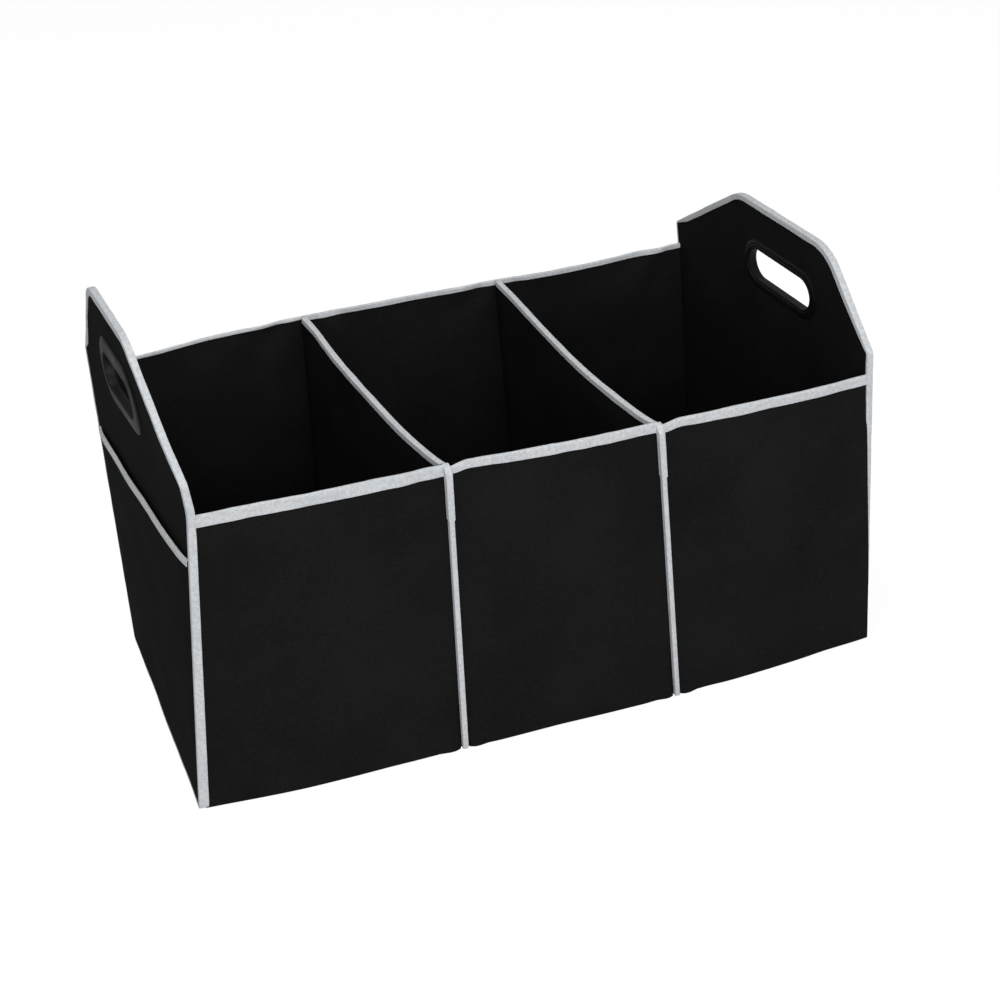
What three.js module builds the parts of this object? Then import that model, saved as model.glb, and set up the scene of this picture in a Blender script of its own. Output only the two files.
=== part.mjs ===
// A collapsible trunk organizer of stiffened black fabric, standing open.
// Two tall end panels carry the hand grips, two dividers part the inside into three bays, and
// fabric walls join them at front and rear. Pale tape binds every raw edge.
// Sizes are in millimetres, with +X to the right, +Y to the rear and +Z up.
import * as THREE from 'three';

// Overall form
const length = 580;            // between the outer faces of the end panels
const width = 318;             // front edge to rear edge of an end panel, without its tape
const rimHeight = 262;         // floor to the top of the walls and dividers, tape included
const handleRise = 96;         // rim to the top of an end panel, tape included
const shoulderRise = 21.5;     // rim to the low shoulder of an end panel
const crownWidth = 139;        // flat top of an end panel, measured between its sharp corners
const crownShift = 26.5;       // crown off the panel's middle: rearward at left, forward at right
const crownRadius = 43;
const shoulderRadius = 8.5;
const footRadius = 3;
const bayCount = 3;

// Cloth, boards and tape
const clearance = 0.3;         // left between pieces that are sewn or laid together
const wallFabric = 1.2;
const skinFabric = 0.7;
const baseFabric = 1.2;
const pocketFabric = 0.9;
const endBoard = 2;
const dividerBoard = 1.5;
const baseBoard = 2.5;
const tape = 0.5;
const endTapeWidth = 4.5;      // tape seen on each face of an end panel
const dividerTapeWidth = 4;
const rimTapeWidth = 9;
const rimTapeTurned = 3;       // the rim tape's shorter leg, inside the bag
const pocketTapeWidth = 5;
const seamTapeWidth = 3.5;

// Walls and their turned-out seams
const wallSetBack = 0.8;       // wall's outer face behind the end panel's edge
const finDepth = 5.5;          // how far a seam stands out of the wall
const seamTurn = 2.5;          // inner radius where the wall turns out into the seam
const baseBoardPlay = 2;       // room round a loose base board

// Pocket on the outside of each end panel
const pocketDrop = 45;         // rim to the middle of the pocket's mouth
const pocketLean = 4;          // how far the mouth falls from its middle to its rear end
const pocketBulge = 5.6;       // how far the mouth stands off the panel
const pocketSeat = 0.45;       // left between the panel and the pocket's sewn edges
const pocketFullness = 8;      // power: how squarely the mouth stands off along its length
const pocketTaper = 0.8;       // power: how the pocket closes toward the floor

// Hand grip: an oval frame on each face, joined by a collar through the panel
const gripLength = 98;
const gripHeight = 30;
const gripRise = 36;           // rim to the middle of the grip
const gripShift = 23;          // grip off the panel's middle, to the same side as the crown
const gripBorder = { outer: 12.5, inner: 8.5 };   // width of the frame round the opening
const gripDome = { outer: 3.2, inner: 2.4 };
const gripEdge = 1.2;
const gripLip = 0.72;          // height of the frame at the opening, as a share of its dome
const collarWall = 1.8;
const collarPlay = 2.6;        // cut-out in the panel round the collar

// How the filled-out bag settles away from a true box. Each panel that stands across the bag
// has its shifts in [x, y] at the floor and at the rim, for its front and its rear edge.
const settled = [
  { foot: { front: [-21.5, 10], rear: [-2, -30] }, rim: { front: [1, 20], rear: [-5, -13] } },
  { foot: { front: [10, -1], rear: [-1, 5] }, rim: { front: [11, 3], rear: [2, 12] } },
  { foot: { front: [9, -9], rear: [5, 5] }, rim: { front: [-5, -10], rear: [-6, 5] } },
  { foot: { front: [7.5, -4], rear: [3, 6] }, rim: { front: [-3, -12], rear: [-8.5, 3] } },
];
// Top of each end panel, in [x, y, z] above its front and its rear edge
const handleSway = {
  left: { front: [-12.5, 4, 10.5], rear: [-1.5, 4, 6.5] },
  right: { front: [-2, -1, -4.5], rear: [-7, -1, -3] },
};
const dividerBow = [0, -7.5, -9.5, 0];       // sideways at the rim, most in the front half
const dividerBowLead = 0.6;                  // below 1, the bow comes early
const wallBow = { foot: 2, rim: 4 };         // out of each bay

// Near the floor the walls also swell out past the seams. The swelling grows over a short run
// from a seam and over a long one from an end panel.
const footSwell = { depth: 4.5, height: 70, fromSeam: 14, fromEnd: 110 };

// How finely curves and long runs are divided
const wallStep = 28;
const heightStep = 66;
const panelStep = 42;
const panelBand = 0.4;         // middle ring of an end sheet, from the grip's frame to the edge
const cutOutSpread = 1.8;      // how far the rings' rays are spread round the grip's ends
const gripSteps = 10;
const turnSteps = 4;

const colours = { fabric: 0x1c1c1d, lining: 0x111112, tape: 0xb9bcbf, board: 0x2a2826, grip: 0x151516 };
const fabricFinish = { roughness: 0.86, metalness: 0 };
const materials = {
  fabric: new THREE.MeshStandardMaterial({ color: colours.fabric, ...fabricFinish }),
  lining: new THREE.MeshStandardMaterial({ color: colours.lining, ...fabricFinish }),
  tape: new THREE.MeshStandardMaterial({ color: colours.tape, roughness: 0.8, metalness: 0 }),
  board: new THREE.MeshStandardMaterial({ color: colours.board, roughness: 0.9, metalness: 0 }),
  grip: new THREE.MeshStandardMaterial({ color: colours.grip, roughness: 0.38, metalness: 0 }),
};

// Sizes that follow from the ones above
const wrap = clearance + tape;                       // how far a tape stands off what it binds
const endStack = 2 * skinFabric + endBoard + 2 * clearance;
const dividerStack = 2 * skinFabric + dividerBoard + 2 * clearance;
const wallTop = rimHeight - wrap;
const wallLine = width / 2 - wallSetBack - wallFabric / 2;    // middle of the wall's fabric
const wallInside = wallLine - wallFabric / 2;
const wallEnd = length / 2 - endStack - wrap - clearance;     // the walls stop on the end tape
const finEdge = wallLine + wallFabric / 2 + finDepth;
const flangeOffset = (wallFabric + clearance) / 2;            // seam's middle to a flange's middle
const pocketMouth = rimHeight - pocketDrop;
const pocketSide = width / 2 - endTapeWidth - clearance;      // the pocket lies between the tapes
const crownTop = rimHeight + handleRise - wrap;
const gripMiddle = { y: gripShift, z: rimHeight + gripRise };
const bayLength = length / bayCount;
const turnEnd = flangeOffset + seamTurn + wallFabric / 2;     // seam's middle to the straight wall
const seamX = (index) => length * (index / bayCount - 0.5);

const mix = THREE.MathUtils.lerp;
const flat = (x, y) => new THREE.Vector2(x, y);

// Moves a point of the true box to where the settled bag has it
function settle(point) {
  const across = THREE.MathUtils.clamp(point.x / length + 0.5, 0, 1) * bayCount;
  const bay = Math.min(Math.floor(across), bayCount - 1);
  const inBay = across - bay;
  const toRear = THREE.MathUtils.clamp(point.y / width + 0.5, 0, 1);
  const toRim = Math.min(point.z / rimHeight, 1);
  const alongDivider = THREE.MathUtils.clamp(point.y / (2 * wallInside) + 0.5, 0, 1);
  const arch = Math.sin(Math.PI * alongDivider ** dividerBowLead);
  const shiftAt = (index, axis) => {
    const { foot, rim } = settled[index];
    const low = mix(foot.front[axis], foot.rear[axis], toRear);
    const high = mix(rim.front[axis], rim.rear[axis], toRear);
    const bow = axis === 0 ? dividerBow[index] * arch * toRim : 0;
    return mix(low, high, toRim) + bow;
  };
  const shift = [0, 1].map((axis) => mix(shiftAt(bay, axis), shiftAt(bay + 1, axis), inBay));
  const grown = [bay, bay + 1].map((index) => {
    const away = bayLength * Math.abs(across - index);
    const atEnd = index === 0 || index === bayCount;
    const share = atEnd ? away / footSwell.fromEnd : (away - turnEnd) / footSwell.fromSeam;
    return Math.sin(Math.PI / 2 * THREE.MathUtils.clamp(share, 0, 1));
  });
  const low = Math.max(1 - point.z / footSwell.height, 0) ** 2;
  const swell = footSwell.depth * low * grown[0] * grown[1];
  const bow = mix(wallBow.foot, wallBow.rim, toRim) * Math.sin(Math.PI * inBay);
  const bulge = (bow + swell) * (2 * toRear - 1);
  const rise = Math.max(point.z - rimHeight, 0) / handleRise;
  const { front, rear } = point.x < 0 ? handleSway.left : handleSway.right;
  const sway = front.map((reach, axis) => rise * mix(reach, rear[axis], toRear));
  return new THREE.Vector3(
    point.x + shift[0] + sway[0],
    point.y + shift[1] + bulge + sway[1],
    point.z + sway[2],
  );
}

// A closed solid through rings of points. A ring's points run round the section, out along one
// face and back along the other, and both faces are split along the same diagonals.
function loft(rings, caps, closed) {
  const points = rings.flat().map(settle);
  const size = rings[0].length;
  const faces = [];
  const last = closed ? rings.length : rings.length - 1;
  for (let i = 0; i < last; i += 1) {
    const here = i * size;
    const next = ((i + 1) % rings.length) * size;
    for (let j = 0; j < size; j += 1) {
      const k = (j + 1) % size;
      if (j < size / 2) {
        faces.push([here + j, next + j, next + k], [here + j, next + k, here + k]);
      } else {
        faces.push([here + j, next + j, here + k], [next + j, next + k, here + k]);
      }
    }
  }
  if (!closed) {
    const end = (rings.length - 1) * size;
    caps.forEach(([a, b, c]) => faces.push([a, b, c], [end + a, end + c, end + b]));
  }
  const volume = faces.reduce((sum, [a, b, c]) => (
    sum + points[a].dot(new THREE.Vector3().crossVectors(points[b], points[c]))
  ), 0);
  const index = faces.flatMap(([a, b, c]) => (volume > 0 ? [a, b, c] : [a, c, b]));
  const geometry = new THREE.BufferGeometry().setFromPoints(points);
  geometry.setIndex(index);
  geometry.computeVertexNormals();
  return geometry;
}

// Divides the long runs of a path into equal steps no longer than a limit
function spaced(path, longest, closed = false) {
  const points = [];
  const runs = closed ? path.length : path.length - 1;
  for (let i = 0; i < runs; i += 1) {
    const from = path[i];
    const to = path[(i + 1) % path.length];
    const steps = Math.max(Math.ceil(from.distanceTo(to) / longest - 1e-6), 1);
    for (let j = 0; j < steps; j += 1) {
      points.push(from.clone().lerp(to, j / steps));
    }
  }
  if (!closed) {
    points.push(path[path.length - 1].clone());
  }
  return points;
}

// Carries a section along a flat path with mitred corners. A section point is how far it lies
// to the right of the path and how high. place() turns path and height into a point in space.
function sweep(path, section, place, closed = false) {
  const rightOf = (from, to) => flat(to.y - from.y, from.x - to.x).normalize();
  const count = path.length;
  const rings = path.map((point, i) => {
    const before = closed ? path[(i + count - 1) % count] : path[i - 1];
    const after = closed ? path[(i + 1) % count] : path[i + 1];
    const first = before ? rightOf(before, point) : rightOf(point, after);
    const second = after ? rightOf(point, after) : first;
    const mitre = first.clone().add(second).divideScalar(1 + first.dot(second));
    return section.map(({ x: out, y: up }) => (
      place(point.x + mitre.x * out, point.y + mitre.y * out, up)
    ));
  });
  const anticlockwise = THREE.ShapeUtils.isClockWise(section) ? section.slice().reverse() : section;
  const numbers = anticlockwise.map((point) => section.indexOf(point));
  const caps = THREE.ShapeUtils.triangulateShape(anticlockwise, []);
  const order = anticlockwise === section ? [0, 1, 2] : [0, 2, 1];
  return loft(rings, caps.map((cap) => order.map((corner) => numbers[cap[corner]])), closed);
}

const plan = (x, y, z) => new THREE.Vector3(x, y, z);

// An outline with rounded corners, its long sides divided
function roundedOutline(corners, longest) {
  const points = corners.flatMap(({ at, radius, steps }, i) => {
    const before = corners[(i + corners.length - 1) % corners.length].at;
    const after = corners[(i + 1) % corners.length].at;
    const back = before.clone().sub(at).normalize();
    const on = after.clone().sub(at).normalize();
    const half = Math.acos(back.dot(on)) / 2;
    const centre = back.clone().add(on).normalize().multiplyScalar(radius / Math.sin(half)).add(at);
    const start = back.multiplyScalar(radius / Math.tan(half)).add(at).sub(centre);
    const turn = (Math.PI - 2 * half) / steps;
    return Array.from({ length: steps + 1 }, (_, j) => (
      start.clone().rotateAround(flat(0, 0), turn * j).add(centre)
    ));
  });
  return spaced(points, longest, true);
}

// A rectangle as a section, its tall sides divided so that it can follow a bent panel
function slab(right, left, bottom, top) {
  const corners = [flat(right, bottom), flat(right, top), flat(left, top), flat(left, bottom)];
  return spaced(corners, heightStep, true);
}

// Tape folded over an edge: the edge lies at out = 0, and the layers between low and high
function foldedTape(low, high, reach, turned = reach) {
  return [
    flat(-reach, high + wrap),
    flat(wrap, high + wrap),
    flat(wrap, low - wrap),
    flat(-turned, low - wrap),
    flat(-turned, low - clearance),
    flat(clearance, low - clearance),
    flat(clearance, high + clearance),
    flat(-reach, high + clearance),
  ];
}

// Tape folded over the top edge of an upright sheet
function topTape(halfThickness, top, reach, turned = reach) {
  return foldedTape(-halfThickness, halfThickness, reach, turned).map(({ x, y }) => flat(y, top + x));
}

const organizer = new THREE.Group();

function add(name, material, geometry) {
  const mesh = new THREE.Mesh(geometry, material);
  mesh.name = name;
  organizer.add(mesh);
}

// End panels

// Outline of an end panel as (y, z), running counter-clockwise from the front foot
const endOutline = roundedOutline([
  { at: flat(-width / 2, wrap), radius: footRadius, steps: 2 },
  { at: flat(width / 2, wrap), radius: footRadius, steps: 2 },
  { at: flat(width / 2, rimHeight + shoulderRise), radius: shoulderRadius, steps: 3 },
  { at: flat(crownShift + crownWidth / 2, crownTop), radius: crownRadius, steps: 4 },
  { at: flat(crownShift - crownWidth / 2, crownTop), radius: crownRadius, steps: 4 },
  { at: flat(-width / 2, rimHeight + shoulderRise), radius: shoulderRadius, steps: 3 },
], panelStep);

// Point of the grip's cut-out that answers to a point outside. The ways out are spread sideways,
// so that enough of them pass through the round ends.
function cutOutToward(point) {
  const radius = gripHeight / 2 + collarWall + collarPlay;
  const straight = (gripLength - gripHeight) / 2;
  const middle = flat(gripMiddle.y, gripMiddle.z);
  const way = point.clone().sub(middle).multiply(flat(cutOutSpread, 1)).normalize();
  const toSide = radius / Math.abs(way.y);
  const onSide = toSide * Math.abs(way.x) <= straight;
  const toEnd = straight * Math.abs(way.x) + Math.sqrt(Math.max(radius ** 2 - (straight * way.y) ** 2, 0));
  return way.multiplyScalar(onSide ? toSide : toEnd).add(middle);
}

// A sheet of an end panel, from its cut-out to its outline, between two depths
function endSheet(place, outside, inside) {
  const rings = endOutline.map((edge) => {
    const start = cutOutToward(edge);
    const underGrip = gripBorder.outer / start.distanceTo(edge);
    const bands = [0, underGrip, mix(underGrip, 1, panelBand), 1];
    const line = bands.map((share) => start.clone().lerp(edge, share));
    return [
      ...line.map(({ x, y }) => place(x, y, outside)),
      ...line.reverse().map(({ x, y }) => place(x, y, inside)),
    ];
  });
  return loft(rings, [], true);
}

// Oval path round the opening of the grip, counter-clockwise as (y, z)
function gripPath() {
  const straight = (gripLength - gripHeight) / 2;
  const half = (side) => Array.from({ length: gripSteps + 1 }, (_, i) => {
    const angle = Math.PI * (i / gripSteps - 0.5);
    const end = flat(straight + Math.cos(angle) * gripHeight / 2, Math.sin(angle) * gripHeight / 2);
    return end.multiplyScalar(side).add(flat(gripMiddle.y, gripMiddle.z));
  });
  return [...half(1), ...half(-1)];
}

// Domed border of a grip frame, as (out of the opening, off the panel)
function gripCrown(from, border, dome) {
  return [
    flat(from, dome * gripLip),
    flat(mix(from, border, 0.28), dome),
    flat(mix(from, border, 0.62), dome * 0.92),
    flat(mix(from, border, 0.9), dome * 0.64),
    flat(border, gripEdge),
    flat(border, clearance),
  ];
}

function outerGrip(place) {
  const collarEnd = -endStack - gripDome.inner * gripLip;
  const section = [
    ...gripCrown(0, gripBorder.outer, gripDome.outer),
    flat(collarWall, clearance),
    flat(collarWall, collarEnd),
    flat(0, collarEnd),
  ];
  return sweep(gripPath(), section, place, true);
}

function innerGrip(place) {
  const inner = collarWall + clearance;
  const section = [...gripCrown(inner, gripBorder.inner, gripDome.inner), flat(inner, clearance)];
  return sweep(gripPath(), section.map(({ x, y }) => flat(x, -endStack - y)), place, true);
}

// The pocket stands off its panel most at the middle of its mouth
function pocketStandOff(y, z) {
  const across = 1 - Math.min(Math.abs(y) / pocketSide, 1) ** pocketFullness;
  return pocketBulge * across * THREE.MathUtils.clamp(z / pocketMouth, 0, 1) ** pocketTaper;
}

// Both end panels are the same, and the right one is the left one turned half round
function addEnd(name, end) {
  const place = (y, z, out) => new THREE.Vector3(end * (length / 2 + out), -end * y, z);
  const innerFace = -endStack;
  add(`${name}_outer_skin`, materials.fabric, endSheet(place, 0, -skinFabric));
  const boardTop = -skinFabric - clearance;
  add(`${name}_board`, materials.board, endSheet(place, boardTop, boardTop - endBoard));
  add(`${name}_inner_skin`, materials.lining, endSheet(place, innerFace + skinFabric, innerFace));
  const binding = foldedTape(innerFace, 0, endTapeWidth);
  add(`${name}_binding`, materials.tape, sweep(endOutline, binding, place, true));
  add(`${name}_handle_outer_frame`, materials.grip, outerGrip(place));
  add(`${name}_handle_inner_frame`, materials.grip, innerGrip(place));

  const side = pocketSide;
  const mouthSide = side - endTapeWidth;
  const leaning = (y, z) => z * (1 - pocketLean * y / side / pocketMouth);
  const standing = (x, y, z) => place(y, leaning(y, z), x + pocketStandOff(y, z));
  const pocketTop = pocketMouth - wrap;
  const mouth = spaced([flat(0, -mouthSide), flat(0, mouthSide)], wallStep);
  const cloth = slab(pocketSeat + pocketFabric, pocketSeat, wrap + endTapeWidth + clearance, pocketTop);
  add(`${name}_pocket`, materials.fabric, sweep([flat(0, -side), ...mouth, flat(0, side)], cloth, standing));
  const mouthTape = topTape(pocketFabric / 2, pocketTop, pocketTapeWidth)
    .map(({ x, y }) => flat(x + pocketSeat + pocketFabric / 2, y));
  add(`${name}_pocket_binding`, materials.tape, sweep(mouth, mouthTape, standing));
}

addEnd('left_end', -1);
addEnd('right_end', 1);

// Dividers

function addDivider(name, index) {
  const middle = seamX(index);
  const reach = wallInside - clearance;
  const bound = spaced([flat(middle, wrap - reach), flat(middle, reach - wrap)], wallStep);
  const whole = [flat(middle, -reach), ...bound, flat(middle, reach)];
  const foot = baseFabric + clearance;
  const sheet = (right, left) => sweep(whole, slab(right, left, foot, wallTop), plan);
  const core = dividerBoard / 2;
  const face = dividerStack / 2;
  add(`${name}_board`, materials.board, sheet(core, -core));
  add(`${name}_skin_left`, materials.lining, sheet(-face + skinFabric, -face));
  add(`${name}_skin_right`, materials.lining, sheet(face, face - skinFabric));
  const binding = topTape(face, wallTop, dividerTapeWidth);
  add(`${name}_top_binding`, materials.tape, sweep(bound, binding, plan));
}

addDivider('divider_left', 1);
addDivider('divider_right', 2);

// Walls: each bay has a front and a rear sheet, turned out at its seams and bound on top

// Plan of one wall sheet from left to right, seen with its outside to the right of the path.
// turned is how much of the quarter turn into the seam is kept, and flange how far it goes on.
function wallPath(index, turned, flange) {
  const radius = turnEnd - flangeOffset;
  const corner = (seam, side) => {
    const x = seamX(seam) + side * flangeOffset;
    const centre = flat(x + side * radius, -wallLine - radius);
    const arc = Array.from({ length: turnSteps + 1 }, (_, i) => {
      const angle = turned * Math.PI / 2 * (1 - i / turnSteps);
      return flat(centre.x - side * Math.sin(angle) * radius, centre.y + Math.cos(angle) * radius);
    });
    return flange ? [flat(x, -finEdge), ...arc] : arc;
  };
  const atStart = index === 0 ? [flat(-wallEnd, -wallLine)] : corner(index, 1);
  const last = index === bayCount - 1;
  const atEnd = last ? [flat(wallEnd, -wallLine)] : corner(index + 1, -1).reverse();
  return spaced([...atStart, ...atEnd], wallStep);
}

// The rear walls are the front ones seen from behind, so their plan is turned half round
const frontPlace = (x, y, z) => new THREE.Vector3(x, y, z);
const rearPlace = (x, y, z) => new THREE.Vector3(x, -y, z);
const bayNames = ['left', 'centre', 'right'];

function addWalls(side, place) {
  const half = wallFabric / 2;
  bayNames.forEach((bay, index) => {
    const cloth = slab(half, -half, 0, wallTop);
    add(`${side}_wall_${bay}`, materials.fabric, sweep(wallPath(index, 1, true), cloth, place));
    const binding = topTape(half, wallTop, rimTapeWidth, rimTapeTurned);
    add(`${side}_rim_binding_${bay}`, materials.tape, sweep(wallPath(index, 0.5, false), binding, place));
  });
  // Tape folded over each seam, from the floor to the rim
  for (let index = 1; index < bayCount; index += 1) {
    const seam = flangeOffset + half;
    const rise = spaced([flat(seamX(index), 0), flat(seamX(index), rimHeight)], heightStep);
    const section = foldedTape(-seam, seam, seamTapeWidth);
    const upright = (x, z, out) => place(x, out, z);
    const binding = section.map(({ x: out, y: across }) => flat(across, -finEdge - out));
    const name = `${side}_seam_binding_${index === 1 ? 'left' : 'right'}`;
    add(name, materials.tape, sweep(rise, binding, upright));
  }
}

addWalls('front', frontPlace);
addWalls('rear', rearPlace);

// Base: one fabric sheet on the floor, with a loose board in each bay

const baseReach = wallInside - clearance;
const baseSection = spaced([
  flat(baseReach, 0),
  flat(baseReach, baseFabric),
  flat(-baseReach, baseFabric),
  flat(-baseReach, 0),
], wallStep * 3, true);
const baseTurns = [1, 2].flatMap((index) => [seamX(index) - turnEnd, seamX(index) + turnEnd]);
const baseRun = spaced([-wallEnd, ...baseTurns, wallEnd].map((x) => flat(x, 0)), wallStep);
add('base_fabric', materials.lining, sweep(baseRun, baseSection, plan));

bayNames.forEach((bay, index) => {
  const atDivider = dividerStack / 2 + baseBoardPlay;
  const from = index === 0 ? -wallEnd + baseBoardPlay : seamX(index) + atDivider;
  const to = index === bayCount - 1 ? wallEnd - baseBoardPlay : seamX(index + 1) - atDivider;
  const reach = baseReach - baseBoardPlay;
  const bottom = baseFabric + clearance;
  const section = spaced([
    flat(reach, bottom),
    flat(reach, bottom + baseBoard),
    flat(-reach, bottom + baseBoard),
    flat(-reach, bottom),
  ], wallStep * 3, true);
  const path = spaced([flat(from, 0), flat(to, 0)], wallStep);
  add(`base_board_${bay}`, materials.board, sweep(path, section, plan));
});

// The origin is under the middle of the whole bag, on the floor
const box = new THREE.Box3().setFromObject(organizer);
const middle = box.getCenter(new THREE.Vector3());
organizer.position.set(-middle.x, -middle.y, 0);

export default organizer;
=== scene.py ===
import math

import bpy
import numpy as np
from mathutils import Matrix, Vector


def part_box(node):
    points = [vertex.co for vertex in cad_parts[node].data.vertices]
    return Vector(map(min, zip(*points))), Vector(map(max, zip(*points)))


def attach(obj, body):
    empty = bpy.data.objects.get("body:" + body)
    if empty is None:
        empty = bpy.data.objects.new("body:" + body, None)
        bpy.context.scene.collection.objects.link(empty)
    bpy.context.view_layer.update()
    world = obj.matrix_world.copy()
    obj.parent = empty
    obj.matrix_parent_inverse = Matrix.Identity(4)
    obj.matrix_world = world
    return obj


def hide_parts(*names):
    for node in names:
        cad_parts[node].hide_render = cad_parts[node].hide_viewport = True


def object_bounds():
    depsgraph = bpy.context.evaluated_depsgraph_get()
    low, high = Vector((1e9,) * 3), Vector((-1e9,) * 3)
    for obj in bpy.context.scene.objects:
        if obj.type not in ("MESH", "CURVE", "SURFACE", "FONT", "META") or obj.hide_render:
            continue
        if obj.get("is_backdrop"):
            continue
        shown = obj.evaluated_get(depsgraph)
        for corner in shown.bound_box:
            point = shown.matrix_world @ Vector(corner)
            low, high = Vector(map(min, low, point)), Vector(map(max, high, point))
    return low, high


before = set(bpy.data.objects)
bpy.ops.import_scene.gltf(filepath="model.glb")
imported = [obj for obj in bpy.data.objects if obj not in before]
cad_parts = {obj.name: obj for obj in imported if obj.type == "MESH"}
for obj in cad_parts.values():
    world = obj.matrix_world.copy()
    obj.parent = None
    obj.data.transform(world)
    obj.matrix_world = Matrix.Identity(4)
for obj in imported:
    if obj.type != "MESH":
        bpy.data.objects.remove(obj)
cad_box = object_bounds()

bl_info = {
    "name": "Trunk Organizer",
    "version": (1, 0, 0),
    "blender": (4, 5, 0),
    "location": "View3D > Sidebar > Organizer",
    "description": "Dresses a three-bay fabric trunk organizer in cloth, edge tape and grips",
    "category": "Object",
}

# Sizes of the true box in millimetres, as in the solid model
LENGTH = 580.0
WIDTH = 318.0
RIM = 262.0
HANDLE_RISE = 96.0
SHOULDER_RISE = 21.5
CROWN_WIDTH = 139.0
CROWN_SHIFT = 26.5
CROWN_RADIUS = 43.0
SHOULDER_RADIUS = 5.0
FOOT_RADIUS = 3.0
BAYS = 3

CLEARANCE = 0.3
WALL_FABRIC = 1.2
SKIN_FABRIC = 0.7
BASE_FABRIC = 1.2
POCKET_FABRIC = 0.9
END_BOARD = 2.0
DIVIDER_BOARD = 1.5
BASE_BOARD = 2.5
TAPE = 0.5

WALL_SET_BACK = 0.8
FIN_DEPTH = 5.5
SEAM_TURN = 2.5
BASE_BOARD_PLAY = 2.0
POCKET_DROP = 45.0
POCKET_LEAN = 4.0
POCKET_BULGE = 3.2

GRIP_LENGTH = 98.0
GRIP_HEIGHT = 30.0
GRIP_RISE = 36.0
GRIP_SHIFT = 23.0
GRIP_BORDER = {"outer": 12.5, "inner": 8.5}
GRIP_DOME = {"outer": 2.6, "inner": 1.8}
COLLAR_WALL = 1.8

WRAP = CLEARANCE + TAPE
END_STACK = 2 * SKIN_FABRIC + END_BOARD + 2 * CLEARANCE
DIVIDER_STACK = 2 * SKIN_FABRIC + DIVIDER_BOARD + 2 * CLEARANCE
WALL_TOP = RIM - WRAP
WALL_LINE = WIDTH / 2 - WALL_SET_BACK - WALL_FABRIC / 2
WALL_INSIDE = WALL_LINE - WALL_FABRIC / 2
WALL_END = LENGTH / 2 - END_STACK - WRAP - CLEARANCE
FIN_EDGE = WALL_LINE + WALL_FABRIC / 2 + FIN_DEPTH
FLANGE_OFFSET = (WALL_FABRIC + CLEARANCE) / 2
SEAM_HALF = FLANGE_OFFSET + WALL_FABRIC / 2
POCKET_MOUTH = RIM - POCKET_DROP
CROWN_TOP = RIM + HANDLE_RISE - WRAP
GRIP_MIDDLE = np.array([GRIP_SHIFT, RIM + GRIP_RISE])
BASE_REACH = WALL_INSIDE - CLEARANCE
BAY_LENGTH = LENGTH / BAYS
TURN_END = FLANGE_OFFSET + SEAM_TURN + WALL_FABRIC / 2
GRIP_STRAIGHT = (GRIP_LENGTH - GRIP_HEIGHT) / 2  # half of the straight run of the grip's opening

# How far cloth runs past the solid's own ends, so that no light falls between it and its neighbour
WALL_OVERLAP = 0.9
BASE_OVERLAP = 1.5

# Width of an end panel's tape on each face, as shares of its setting, at these heights up its
# front and its rear edge. The last is that of the crown.
END_TAPE_HEIGHTS = (WRAP + 0.1, 8.0, RIM - 8, RIM + 4, RIM + SHOULDER_RISE, RIM + 34, RIM + 62,
                    CROWN_TOP - 3)
END_TAPE_SHARES = {
    ("inner", "front"): (0.3, 0.15, 0.15, 0.4, 0.35, 0.75, 1.0, 1.0),
    ("inner", "rear"): (0.3, 0.15, 0.15, 0.12, 0.12, 0.95, 1.0, 1.0),
    ("outer", "front"): (0.35, 0.8, 0.9, 1.2, 0.55, 1.0, 1.0, 1.2),
    ("outer", "rear"): (0.35, 0.12, 0.12, 0.12, 0.2, 1.5, 0.8, 1.3),
}
# Height of the rim over the true one at the left end, the middle and the right end of a wall
RIM_HANG = {
    ("front", 0): (-3.0, -0.4, 0.0), ("front", 1): (1.0, 1.2, 1.2), ("front", 2): (1.2, 1.2, 0.6),
    ("rear", 0): (3.0, 1.2, 0.0), ("rear", 1): (0.0, -1.3, 0.0), ("rear", 2): (0.0, -4.0, 0.0),
}
# Widths of the rim tape of each wall, as shares of its settings: on the inside, and on the
# outside at the start, at a third and at the end
RIM_TAPE_SHARES = {
    ("front", 0): (1.0, 1.03, 1.0, 0.88), ("front", 1): (1.0, 0.5, 0.74, 0.8),
    ("front", 2): (1.0, 0.62, 0.8, 0.8),
    ("rear", 0): (0.5, 1.0, 1.0, 1.0), ("rear", 1): (1.15, 1.0, 1.0, 1.0),
    ("rear", 2): (1.15, 1.0, 1.0, 1.0),
}
SEAM_DIP = {"depth": 3.6, "length": 21.0}  # of the rim tape that starts behind a front seam
END_FLARE = {"rim": 0.2, "foot": 1.4}  # of the left panel's tape over the end of the front wall
FOOT_FILL = {"depth": 4.6, "height": 70.0}  # of the cloth beside the seams at the foot
FIN_DROP = {"seam": 4.4, "wall": 5.94}  # of the top of a turned-out seam under the rim
END_LAP = {"along": 3.8, "out": 3.0, "from_end": 46.0}  # of the front right wall, at its foot

# How the filled-out bag has settled: [x, y] shifts of each cross panel at the floor and at the
# rim, for its front and its rear edge
FOOT_SHIFT = np.array([
    [[-21.5, 10], [-2, -30]], [[10, -1], [-1, 5]], [[9, -9], [5, 5]], [[7.5, -4], [3, 6]],
], float)
RIM_SHIFT = np.array([
    [[1, 20], [-5, -13]], [[11, 3], [2, 12]], [[-5, -10], [-6, 5]], [[-3, -12], [-8.5, 3]],
], float)
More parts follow.
